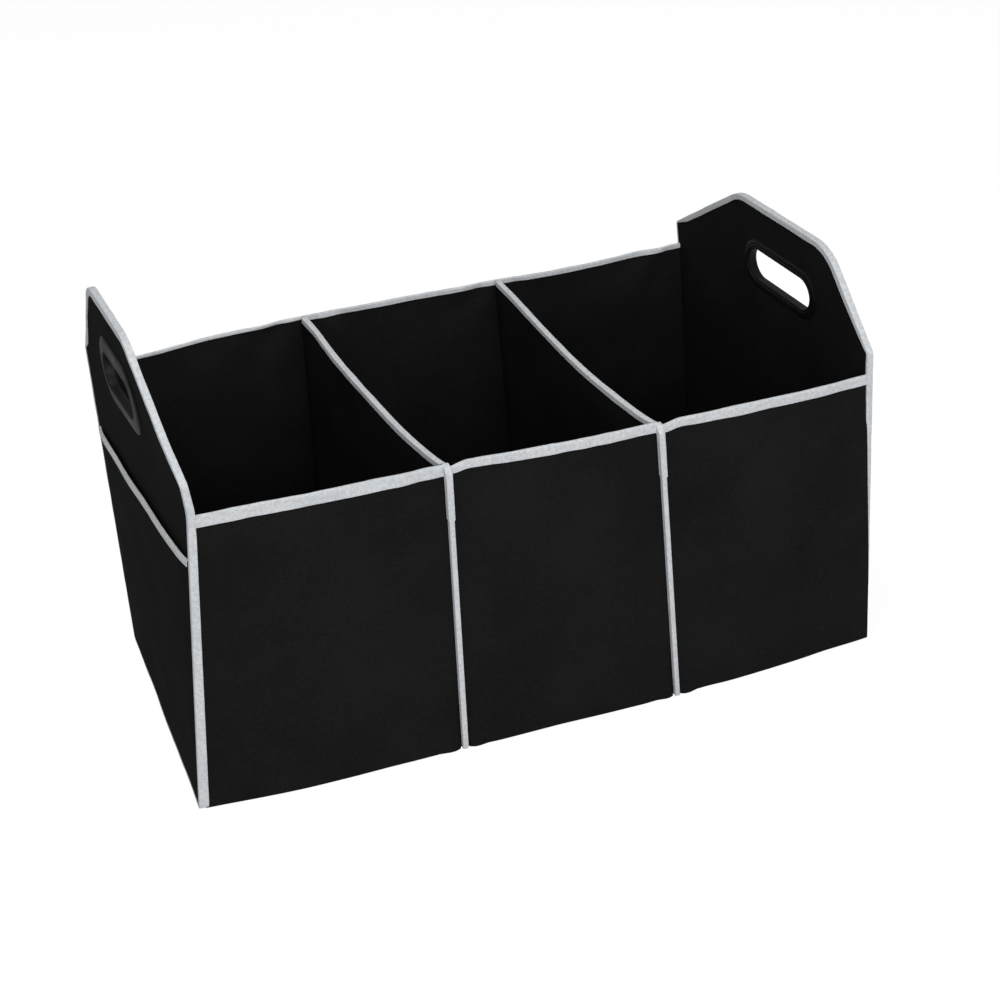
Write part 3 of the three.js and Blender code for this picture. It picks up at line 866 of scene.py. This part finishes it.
def wall_relief(side, index):
    """How far the cloth of a wall stands out, in millimetres, at (x, z) of the true box."""
    settings = bpy.context.scene.organizer_cloth
    seed = 100 + 10 * index + (0 if side == "front" else 5)
    broad = ripples(seed, 90, 320)
    small = ripples(seed + 1, 26, 80)
    left, right = seam_x(index), seam_x(index + 1)
    pucker, wave = mm(settings.pucker), mm(settings.waviness)

    def relief(x, z):
        inside = np.minimum(x - left, right - x)
        calm = ease(inside, 3, 42)
        near_rim = np.exp(-((z - WALL_TOP) / 46) ** 2)
        out = wave * (1.1 * broad(x, z) + 0.22 * small(x, z) * (0.4 + near_rim))
        strong = 1.5 if side == "rear" else 0.55
        corners = ((strong, (left + 4, RIM + 10), 7, 62), (strong, (right - 4, RIM + 10), 7, 70),
                   (0.7, (left, 0), 4, 42), (0.8, (right, 4), 5, 46))
        for k, (share, at, spokes, size) in enumerate(corners):
            out = out + share * fan(x, z, at, spokes, pucker, size, seed + 2 + k)
        return out * calm

    return relief


def fin_drop(out, z):
    """How far a seam that stands out of the wall has its top under the rim, as a share."""
    return ease(out - WALL_LINE, 0.6, 6.0) * np.clip(z / RIM, 0, 1) ** 14


def foot_fill(beside):
    """How far the cloth at the foot stands out, at some distance beside a seam."""
    return FOOT_FILL["depth"] * ease(beside, 1.6, 4.2) * (1 - ease(beside, 5.0, 20.0))


def wall_place(side, index):
    """Turns a wall's plan and height into points. The rear is the front seen from behind. The
    front right wall laps over the end panel's tape toward the foot."""
    relief = wall_relief(side, index)
    way = SIDES[side]
    first, middle, last = RIM_HANG[side, index]
    laps = side == "front" and index == BAYS - 1

    def place(x, y, z):
        share = np.clip((x - seam_x(index)) / BAY_LENGTH, 0, 1)
        hang = mix(first, last, share) + (middle - (first + last) / 2) * np.sin(np.pi * share)
        if side == "front" and index:
            hang = hang - SEAM_DIP["depth"] * (1 - ease(x - seam_x(index), 3, SEAM_DIP["length"]))
        high = z + hang * np.clip(z / RIM, 0, 1) ** 3 - FIN_DROP["wall"] * fin_drop(-y, z)
        beside = np.minimum(np.where(index > 0, x - seam_x(index), 99),
                            np.where(index < BAYS - 1, seam_x(index + 1) - x, 99))
        fill = foot_fill(beside) * np.maximum(1 - z / FOOT_FILL["height"], 0) ** 2
        out = y - relief(x, z) - fill
        x = x + WALL_OVERLAP * np.sign(x) * ease(np.abs(x), WALL_END - 2.5, WALL_END)
        if laps:
            at_end = ease(x, WALL_END - END_LAP["from_end"], WALL_END)
            down = np.clip(1 - z / RIM, 0, 1)
            out = out - END_LAP["out"] * at_end * ease(down, 0.02, 0.3)
            x = x + END_LAP["along"] * at_end * ease(down, 0.15, 0.8)
        return np.stack([x + 0 * z, way * out, high + 0 * x], -1)

    return place


# Settings

class ClothSettings(bpy.types.PropertyGroup):
    outside_color: bpy.props.FloatVectorProperty(
        name="Outside Colour", description="Cloth on the outside of the bag", subtype="COLOR",
        size=3, min=0, max=1, default=(0.0104, 0.0104, 0.0107))
    # Painted light: the same cloth as the outside, set a little lighter to make up for the shade
    # inside the bag.
    inside_lit_color: bpy.props.FloatVectorProperty(
        name="Inside Colour", description="Cloth on the inside of the bag", subtype="COLOR",
        size=3, min=0, max=1, default=(0.0112, 0.0112, 0.0117))
    board_color: bpy.props.FloatVectorProperty(
        name="Board Colour", description="Pressed board of the panels and the base",
        subtype="COLOR", size=3, min=0, max=1, default=(0.024, 0.021, 0.018))
    press_pitch: bpy.props.FloatProperty(
        name="Press Pitch", description="Distance between the ovals pressed into the cloth",
        unit="LENGTH", default=0.0021, min=0.0005, max=0.01)
    waviness: bpy.props.FloatProperty(
        name="Waviness", description="How far the cloth stands off a flat sheet",
        unit="LENGTH", default=0.0011, min=0, max=0.005)
    pucker: bpy.props.FloatProperty(
        name="Pucker Depth", description="Height of the puckers at the sewn corners",
        unit="LENGTH", default=0.0016, min=0, max=0.005)


class TapeSettings(bpy.types.PropertyGroup):
    color: bpy.props.FloatVectorProperty(
        name="Tape Colour", description="Pale tape over every raw edge", subtype="COLOR",
        size=3, min=0, max=1, default=(0.6, 0.62, 0.64))
    thread_color: bpy.props.FloatVectorProperty(
        name="Thread Colour", description="Sewing thread", subtype="COLOR",
        size=3, min=0, max=1, default=(0.5, 0.51, 0.53))
    rim_outside: bpy.props.FloatProperty(
        name="Rim Tape Outside", description="Width of the rim tape on the outside of a wall",
        unit="LENGTH", default=0.009, min=0.004, max=0.02)
    rim_inside: bpy.props.FloatProperty(
        name="Rim Tape Inside", description="Width of the rim tape on the inside of a wall",
        unit="LENGTH", default=0.003, min=0.002, max=0.02)
    end_width: bpy.props.FloatProperty(
        name="End Tape", description="Width of the tape on each face of an end panel",
        unit="LENGTH", default=0.0045, min=0.002, max=0.015)
    divider_width: bpy.props.FloatProperty(
        name="Divider Tape", description="Width of the tape on each face of a divider",
        unit="LENGTH", default=0.004, min=0.002, max=0.015)
    pocket_width: bpy.props.FloatProperty(
        name="Pocket Tape", description="Width of the tape on the mouth of a pocket",
        unit="LENGTH", default=0.0042, min=0.002, max=0.015)
    seam_width: bpy.props.FloatProperty(
        name="Seam Tape", description="Width of the tape on each side of a turned-out seam",
        unit="LENGTH", default=0.0035, min=0.002, max=0.01)
    tail: bpy.props.FloatProperty(
        name="Rim Tape Tail", description="How far the rim tape turns down over a front seam",
        unit="LENGTH", default=0.046, min=0.01, max=0.1)
    ripple: bpy.props.FloatProperty(
        name="Ripple", description="How unevenly the tape lies", unit="LENGTH",
        default=0.0002, min=0, max=0.002)
    stitch: bpy.props.FloatProperty(
        name="Stitch Length", description="Length of one stitch", unit="LENGTH",
        default=0.0032, min=0.0015, max=0.008)
    stitch_inset: bpy.props.FloatProperty(
        name="Stitch Inset", description="Distance of the stitches from the edge of the tape",
        unit="LENGTH", default=0.0011, min=0.0003, max=0.004)
    thread: bpy.props.FloatProperty(
        name="Thread", description="Thickness of the sewing thread", unit="LENGTH",
        default=0.00038, min=0.0001, max=0.001)


class GripSettings(bpy.types.PropertyGroup):
    color: bpy.props.FloatVectorProperty(
        name="Grip Colour", description="Plastic of the hand grips", subtype="COLOR",
        size=3, min=0, max=1, default=(0.0045, 0.0045, 0.0048))
    roughness: bpy.props.FloatProperty(
        name="Roughness", description="Dullness of the plastic", subtype="FACTOR",
        default=0.46, min=0.05, max=1)


class StageSettings(bpy.types.PropertyGroup):
    lens: bpy.props.FloatProperty(
        name="Focal Length", description="Camera lens on a 36 mm sensor", unit="CAMERA",
        default=80.7, min=20, max=200)
    floor_color: bpy.props.FloatVectorProperty(
        name="Floor Colour", description="Plain floor under the bag", subtype="COLOR",
        size=3, min=0, max=1, default=(0.62, 0.62, 0.62))
    key_power: bpy.props.FloatProperty(
        name="Key Light", description="Power of the large lamp beside the camera", subtype="POWER",
        default=50.0, min=0, max=1000)
    top_power: bpy.props.FloatProperty(
        name="Top Light", description="Power of the soft lamp overhead", subtype="POWER",
        default=34.0, min=0, max=1000)
    room_light: bpy.props.FloatProperty(
        name="Room Light", description="Even light from all round", default=0.3, min=0, max=2)


# Operators

class ORGANIZER_OT_end_panels(bpy.types.Operator):
    """Builds the raised end panels: a stiff board between two skins of cloth"""
    bl_idname = "organizer.end_panels"
    bl_label = "End Panels"

    def execute(self, context):
        for name, end in ENDS.items():
            place = end_place(end)
            board_top = -SKIN_FABRIC - CLEARANCE
            layers = {
                "outer_skin": (0.0, -SKIN_FABRIC, "fabric", 2.0),
                "board": (board_top, board_top - END_BOARD, "board", 2.6),
                "inner_skin": (SKIN_FABRIC - END_STACK, -END_STACK, "lining", 2.0),
            }
            for layer, (outside, inside, slot, opening) in layers.items():
                piece = end_sheet(f"{name}_{layer}_cloth", place, outside, inside, slot, opening)
                if layer == "board":
                    piece.name = f"{name}_stiff_board"
                else:
                    area = sum(face.area for face in piece.data.polygons) / 2
                    scale = math.sqrt(area / panel_area()) / 1000
                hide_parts(f"{name}_{layer}")
        return {"FINISHED"}


class ORGANIZER_OT_end_tapes(bpy.types.Operator):
    """Folds one tape round the whole edge of each end panel"""
    bl_idname = "organizer.end_tapes"
    bl_label = "End Tapes"

    def execute(self, context):
        for name, end in ENDS.items():
            path = end_outline(3.0)
            low = -END_STACK - end_flare(path, end)
            seeds = (200, 201) if end < 0 else (210, 211)
            tape = folded_tape(f"{name}_edge_tape", path, low, 0.0, end_tape_reach(path, end),
                               end_place(end), seeds, closed=True)
            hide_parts(f"{name}_binding")
        return {"FINISHED"}


class ORGANIZER_OT_grips(bpy.types.Operator):
    """Builds the moulded frames of the hand openings"""
    bl_idname = "organizer.grips"
    bl_label = "Hand Grips"

    def execute(self, context):
        collar_end = -END_STACK - GRIP_DOME["inner"] * 0.6
        inner = COLLAR_WALL + CLEARANCE
        for name, end in ENDS.items():
            place = end_place(end)
            outer = grip_crown(0, GRIP_BORDER["outer"], GRIP_DOME["outer"])
            outer += [(COLLAR_WALL, CLEARANCE), (COLLAR_WALL, collar_end),
                      (COLLAR_WALL / 2, collar_end - 0.35), (0.0, collar_end)]
            piece = grip_ring(f"{name}_grip_outside", outer, place)
            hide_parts(f"{name}_handle_outer_frame")
            shape = grip_crown(inner, GRIP_BORDER["inner"], GRIP_DOME["inner"])
            inside = [(at, -END_STACK - high) for at, high in shape]
            inside.append((inner, -END_STACK - CLEARANCE))
            piece = grip_ring(f"{name}_grip_inside", inside, place)
            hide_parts(f"{name}_handle_inner_frame")
        return {"FINISHED"}


def pocket_place(end):
    """Turns (out of the panel, y, z) of a pocket into points. The cloth stands off most at the
    middle of the mouth, and hangs slack under it."""
    place = end_place(end)
    depth = mm(bpy.context.scene.organizer_cloth.waviness)
    edge = WIDTH / 2 - mm(bpy.context.scene.organizer_tape.end_width) - CLEARANCE
    slack = ripples(60 if end < 0 else 70, 60, 200)

    def standing(out, y, z):
        z = z * (1 - POCKET_LEAN * y / edge / POCKET_MOUTH)
        across = 1 - np.minimum(np.abs(y) / edge, 1) ** 8
        height = np.clip(z / POCKET_MOUTH, 0, 1)
        lift = POCKET_BULGE * across * height ** 0.8
        wave = depth * (0.6 + slack(y, z)) * across * np.sin(np.pi * height) ** 2
        return place(y, z, out + lift + np.maximum(wave, 0))

    return standing


class ORGANIZER_OT_pockets(bpy.types.Operator):
    """Builds the flat pocket on the outside of each end panel, with its taped mouth"""
    bl_idname = "organizer.pockets"
    bl_label = "End Pockets"

    def execute(self, context):
        tape = context.scene.organizer_tape
        side = WIDTH / 2 - mm(tape.end_width) - CLEARANCE
        foot = WRAP + mm(tape.end_width) + CLEARANCE
        top = POCKET_MOUTH - WRAP
        reach = mm(tape.pocket_width)
        for name, end in ENDS.items():
            standing = pocket_place(end)
            y, z = grid_of(np.linspace(-side, side, 61), np.linspace(foot, top, 41))
            layers = [standing(out, y, z) for out in (CLEARANCE + POCKET_FABRIC, CLEARANCE)]
            cloth = cloth_piece(f"{name}_pocket_cloth", layers, "fabric")
            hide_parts(f"{name}_pocket")
            path = spread([(-side, top), (side, top)], 4.0)[::-1]
            half = POCKET_FABRIC / 2
            tapes = folded_tape(
                f"{name}_pocket_tape", path, -half, half, (reach, reach),
                lambda y, z, across: standing(CLEARANCE + half + across, y, z),
                (220, 221) if end < 0 else (230, 231))
            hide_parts(f"{name}_pocket_binding")
            cut_of(layers[0])
        return {"FINISHED"}


class ORGANIZER_OT_walls(bpy.types.Operator):
    """Builds the wall sheets, turned out at their seams and puckered where they are sewn"""
    bl_idname = "organizer.walls"
    bl_label = "Walls"

    def execute(self, context):
        for side in SIDES:
            for index, bay in enumerate(BAY_NAMES):
                path = wall_path(index, (1, 1), (True, True))
                aside = mitres(path)
                place = wall_place(side, index)
                z = np.linspace(0, WALL_TOP, 49)[None, :] + np.zeros((len(path), 1))
                layers = []
                for out in (WALL_FABRIC / 2, -WALL_FABRIC / 2):
                    flat = path + aside * out
                    layers.append(place(flat[:, :1] + 0 * z, flat[:, 1:] + 0 * z, z))
                name = f"{side}_wall_{bay}"
                # The rear walls take the inside cloth, with its painted light.
                finish = "fabric" if side == "front" else "lining"
                cloth = cloth_piece(name + "_cloth", layers, finish, "fabric")
                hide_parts(name)
                cut_of(layers[0])
        return {"FINISHED"}


class ORGANIZER_OT_rim_tapes(bpy.types.Operator):
    """Folds tape over the top edge of every wall. In front it runs out along the seam on its
    right end, where it turns down over the seam, and starts tucked behind that of the last wall"""
    bl_idname = "organizer.rim_tapes"
    bl_label = "Rim Tapes"

    def execute(self, context):
        tape = context.scene.organizer_tape
        half = WALL_FABRIC / 2
        for side in SIDES:
            for index, bay in enumerate(BAY_NAMES):
                inside, *outside = RIM_TAPE_SHARES[side, index]
                place = wall_place(side, index)
                turned = (RIM_TAPE_TURN, 1.0 if side == "front" else RIM_TAPE_TURN)
                path = wall_path(index, turned, (False, False), 3.0)
                run = run_of(path)
                reach = (mm(tape.rim_inside) * inside,
                         mm(tape.rim_outside) * np.interp(run / run[-1], (0, 0.33, 1), outside))
                piece = folded_tape(f"{side}_rim_tape_{bay}", path, -half, half, reach,
                                    lambda x, y, out: place(x, y, WALL_TOP + out),
                                    (240 + index, 250 + index), bend=0.8, apart=0, from_above=True)
                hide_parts(f"{side}_rim_binding_{bay}")
        return {"FINISHED"}


class ORGANIZER_OT_seam_tapes(bpy.types.Operator):
    """Folds tape over the turned-out seams, with the rim tape's tail over the front ones"""
    bl_idname = "organizer.seam_tapes"
    bl_label = "Seam Tapes"

    def execute(self, context):
        tape = context.scene.organizer_tape
        width = mm(tape.seam_width)
        for side, way in SIDES.items():
            for index in (1, 2):
                bay = BAY_NAMES[0] if index == 1 else BAY_NAMES[2]
                x = seam_x(index)
                top = RIM - (SEAM_TAPE_DROP if side == "front" else 0)

                def place(out, z, across):
                    high = z - FIN_DROP["seam"] * fin_drop(out, z)
                    return np.stack([x + across, way * -out, high + 0 * across], -1)

                edge = spread([(FIN_EDGE, 0.0), (FIN_EDGE, top)], 3.5)
                seed = 260 + index + (10 if side == "rear" else 0)
                piece = folded_tape(f"{side}_seam_tape_{bay}", edge, -SEAM_HALF, SEAM_HALF,
                                    (width, width), place, (seed, seed + 1), uneven=0.2)
                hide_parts(f"{side}_seam_binding_{bay}")
                if side == "front":
                    self.add_tail(bay, index, place, width)
        return {"FINISHED"}

    def add_tail(self, bay, index, place, width):
        """The rim tape's end, turned down over the seam and cut off."""
        lift = WRAP + TAIL_LIFT
        drop = RIM - mm(bpy.context.scene.organizer_tape.tail)
        out, high, radius = FIN_EDGE + 0.1, RIM - 0.6, TAIL_RADIUS
        bend = [(out - radius + radius * math.sin(a), high - radius + radius * math.cos(a))
                for a in np.linspace(0, math.pi / 2, 9)]
        line = spread([(WALL_LINE - 0.4, high), *bend, (out, drop)], 2.2)[::-1]
        folded_tape(f"front_rim_tail_{bay}", line, -SEAM_HALF, SEAM_HALF,
                    (width + 0.5, width + 0.4), place, (280 + index, 281 + index),
                    stand=(lift + TAPE, lift), stitched=(True, False), uneven=0.2)


class ORGANIZER_OT_dividers(bpy.types.Operator):
    """Builds the dividers: a board between two skins, with tape on the top edge"""
    bl_idname = "organizer.dividers"
    bl_label = "Dividers"

    def execute(self, context):
        tape_width = mm(context.scene.organizer_tape.divider_width)
        reach = WALL_INSIDE - CLEARANCE
        foot = BASE_FABRIC + CLEARANCE
        core, face = DIVIDER_BOARD / 2, DIVIDER_STACK / 2
        layers = {
            "board": (core, -core, "board"),
            "skin_left": (-face + SKIN_FABRIC, -face, "lining"),
            "skin_right": (face, face - SKIN_FABRIC, "lining"),
        }
        for name, index in (("divider_left", 1), ("divider_right", 2)):
            x = seam_x(index)
            depth = mm(context.scene.organizer_cloth.waviness)
            soft = ripples(300 + index, 60, 220)

            def place(out, y, z):
                calm = ease(reach - np.abs(y), 2, 40) * ease(z, 4, 50)
                aside = x + out + 0.8 * depth * soft(y, z) * calm
                return np.stack([aside, y + 0 * z, z + 0 * y], -1)

            y, z = grid_of(np.linspace(-reach, reach, 75), np.linspace(foot, WALL_TOP, 49))
            run = reach - WRAP - CLEARANCE - 0.6
            path = spread([(-run, WALL_TOP), (run, WALL_TOP)], 4.0)[::-1]
            tape = folded_tape(f"{name}_top_tape", path, -face, face, (tape_width, tape_width),
                               lambda y, z, across: place(across, y, z), (310 + index, 311 + index))
            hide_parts(f"{name}_top_binding")
            for layer, (right, left, slot) in layers.items():
                grids = [place(out, y, z) for out in (right, left)]
                piece = cloth_piece(f"{name}_{layer}_cloth", grids, slot)
                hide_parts(f"{name}_{layer}")
                if layer == "board":
                    piece.name = f"{name}_stiff_board"
                else:
                    cut_of(grids[0])
        return {"FINISHED"}


class ORGANIZER_OT_base(bpy.types.Operator):
    """Builds the base sheet and the loose boards that lie on it"""
    bl_idname = "organizer.base"
    bl_label = "Base"

    def execute(self, context):
        end = WALL_END + BASE_OVERLAP
        fabric, cut = self.layer("base_sheet", -end, end, BASE_REACH, 0.0, BASE_FABRIC, "lining")
        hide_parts("base_fabric")
        bottom = BASE_FABRIC + CLEARANCE
        play = BASE_BOARD_PLAY
        at_divider = DIVIDER_STACK / 2 + play
        starts = (-WALL_END + play, seam_x(1) + at_divider, seam_x(2) + at_divider)
        stops = (seam_x(1) - at_divider, seam_x(2) - at_divider, WALL_END - play)
        for bay, start, stop in zip(BAY_NAMES, starts, stops):
            board, _ = self.layer(f"base_board_{bay}_covered", start, stop, BASE_REACH - play,
                                  bottom, bottom + BASE_BOARD, "board")
            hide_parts(f"base_board_{bay}")
        return {"FINISHED"}

    def layer(self, name, start, stop, reach, bottom, top, slot):
        """A flat layer with the size it is cut to. Only the sheet follows the foot of the walls."""
        near = np.concatenate([np.arange(0.0, 6.0, 1.0), np.arange(6.0, 22.0, 2.0)])
        seams = [seam_x(seam) + way * near for seam in (1, 2) for way in (-1, 1)]
        columns = np.unique(np.concatenate([np.linspace(start, stop, 40), *seams]))
        columns = columns[(columns >= start) & (columns <= stop)]
        x, y = grid_of(columns, np.linspace(-reach, reach, 30))
        if slot == "lining":
            beside = np.minimum(np.abs(x - seam_x(1)), np.abs(x - seam_x(2)))
            y = y * (1 + foot_fill(beside) / reach)
        grids = [np.stack([x, y, z + 0 * x], -1) for z in (top, bottom)]
        return cloth_piece(name, grids, slot), cut_of(grids[0])


class ORGANIZER_OT_stage(bpy.types.Operator):
    """Sets the floor, the lamps, the room light and the camera"""
    bl_idname = "organizer.stage"
    bl_label = "Stage"

    def execute(self, context):
        settings = context.scene.organizer_stage
        self.lay_floor(settings)
        self.light_room(settings)
        for name, (place, size) in LAMPS.items():
            self.hang_lamp(name, place, size, getattr(settings, name + "_power"))
        self.place_camera(context.scene, settings)
        return {"FINISHED"}

    def lay_floor(self, settings):
        reach = FLOOR_REACH
        corners = [(-reach, -reach, 0), (reach, -reach, 0), (reach, reach, 0), (-reach, reach, 0)]
        mesh = bpy.data.meshes.new("floor")
        mesh.from_pydata(corners, [], [(0, 1, 2, 3)])
        floor = bpy.data.objects.new("floor", mesh)
        floor.location.z = -FLOOR_DROP
        bpy.context.scene.collection.objects.link(floor)
        material = bpy.data.materials.new("floor_white")
        wiring = Wiring(material, "ShaderNodeOutputMaterial")
        glow = wiring.node("ShaderNodeEmission", {"Strength": FLOOR_GLOW["strength"]})
        matt = wiring.node("ShaderNodeBsdfDiffuse", {"Color": (*settings.floor_color, 1)})
        wiring.for_camera(glow, matt, FLOOR_GLOW["share"])
        mesh.materials.append(material)
        floor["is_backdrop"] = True

    def light_room(self, settings):
        world = bpy.data.worlds.new("room")
        bpy.context.scene.world = world
        wiring = Wiring(world, "ShaderNodeOutputWorld")
        white, even = (
            wiring.node("ShaderNodeBackground", {"Color": (1, 1, 1, 1), "Strength": strength})
            for strength in (1.0, settings.room_light))
        wiring.for_camera(white, even)

    def hang_lamp(self, name, place, size, power):
        lamp = bpy.data.lights.new(name + "_light", "AREA")
        lamp.shape = "DISK"
        lamp.size = size
        lamp.energy = power
        holder = bpy.data.objects.new(name + "_lamp", lamp)
        holder.location = place
        aim = Vector((0, 0, 0.15)) - Vector(place)
        holder.rotation_euler = aim.to_track_quat("-Z", "Y").to_euler()
        bpy.context.scene.collection.objects.link(holder)

    def place_camera(self, scene, settings):
        lens = bpy.data.cameras.new("camera")
        lens.lens = settings.lens
        lens.sensor_width = 36
        lens.clip_end = 50
        camera = bpy.data.objects.new("camera", lens)
        turned = Vector(CAMERA_AHEAD).to_track_quat("-Z", "Y").to_matrix()
        turned = turned @ Matrix.Rotation(math.radians(CAMERA_TILT), 3, "Z")
        place = (Vector(CAMERA_AT) + Vector(OFFSET)) / 1000
        camera.matrix_world = Matrix.Translation(place) @ turned.to_4x4()
        scene.collection.objects.link(camera)
        scene.camera = camera
        scene.view_settings.view_transform = "Standard"


class ORGANIZER_PT_panel(bpy.types.Panel):
    """The organizer's settings and the steps that build it"""
    bl_idname = "ORGANIZER_PT_panel"
    bl_label = "Organizer"
    bl_space_type = "VIEW_3D"
    bl_region_type = "UI"
    bl_category = "Organizer"

    def draw(self, context):
        for group in SETTINGS:
            box = self.layout.box()
            box.label(text=group.capitalize())
            settings = getattr(context.scene, "organizer_" + group)
            for key in type(settings).__annotations__:
                box.prop(settings, key)
        for step in STEPS:
            self.layout.operator(step.bl_idname)


SETTINGS = {
    "cloth": ClothSettings,
    "tape": TapeSettings,
    "grip": GripSettings,
    "stage": StageSettings,
}
STEPS = (  # tapes come before the sheets that carry them
    ORGANIZER_OT_end_tapes,
    ORGANIZER_OT_end_panels,
    ORGANIZER_OT_grips,
    ORGANIZER_OT_pockets,
    ORGANIZER_OT_rim_tapes,
    ORGANIZER_OT_seam_tapes,
    ORGANIZER_OT_walls,
    ORGANIZER_OT_dividers,
    ORGANIZER_OT_base,
    ORGANIZER_OT_stage,
)


def register():
    for group, settings in SETTINGS.items():
        bpy.utils.register_class(settings)
        setattr(bpy.types.Scene, "organizer_" + group, bpy.props.PointerProperty(type=settings))
    for step in STEPS:
        bpy.utils.register_class(step)
    bpy.utils.register_class(ORGANIZER_PT_panel)


def unregister():
    bpy.utils.unregister_class(ORGANIZER_PT_panel)
    for step in reversed(STEPS):
        bpy.utils.unregister_class(step)
    for group, settings in SETTINGS.items():
        delattr(bpy.types.Scene, "organizer_" + group)
        bpy.utils.unregister_class(settings)


def main():
    register()
    for step in STEPS:
        group, name = step.bl_idname.split(".")
        if getattr(getattr(bpy.ops, group), name)() != {"FINISHED"}:
            raise RuntimeError(f"{step.bl_label} didn't finish")
    boxes = {"cad": cad_box, "visual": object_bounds()}
    {key: [list(corner) for corner in box] for key, box in boxes.items()}


if __name__ == "__main__":
    main()
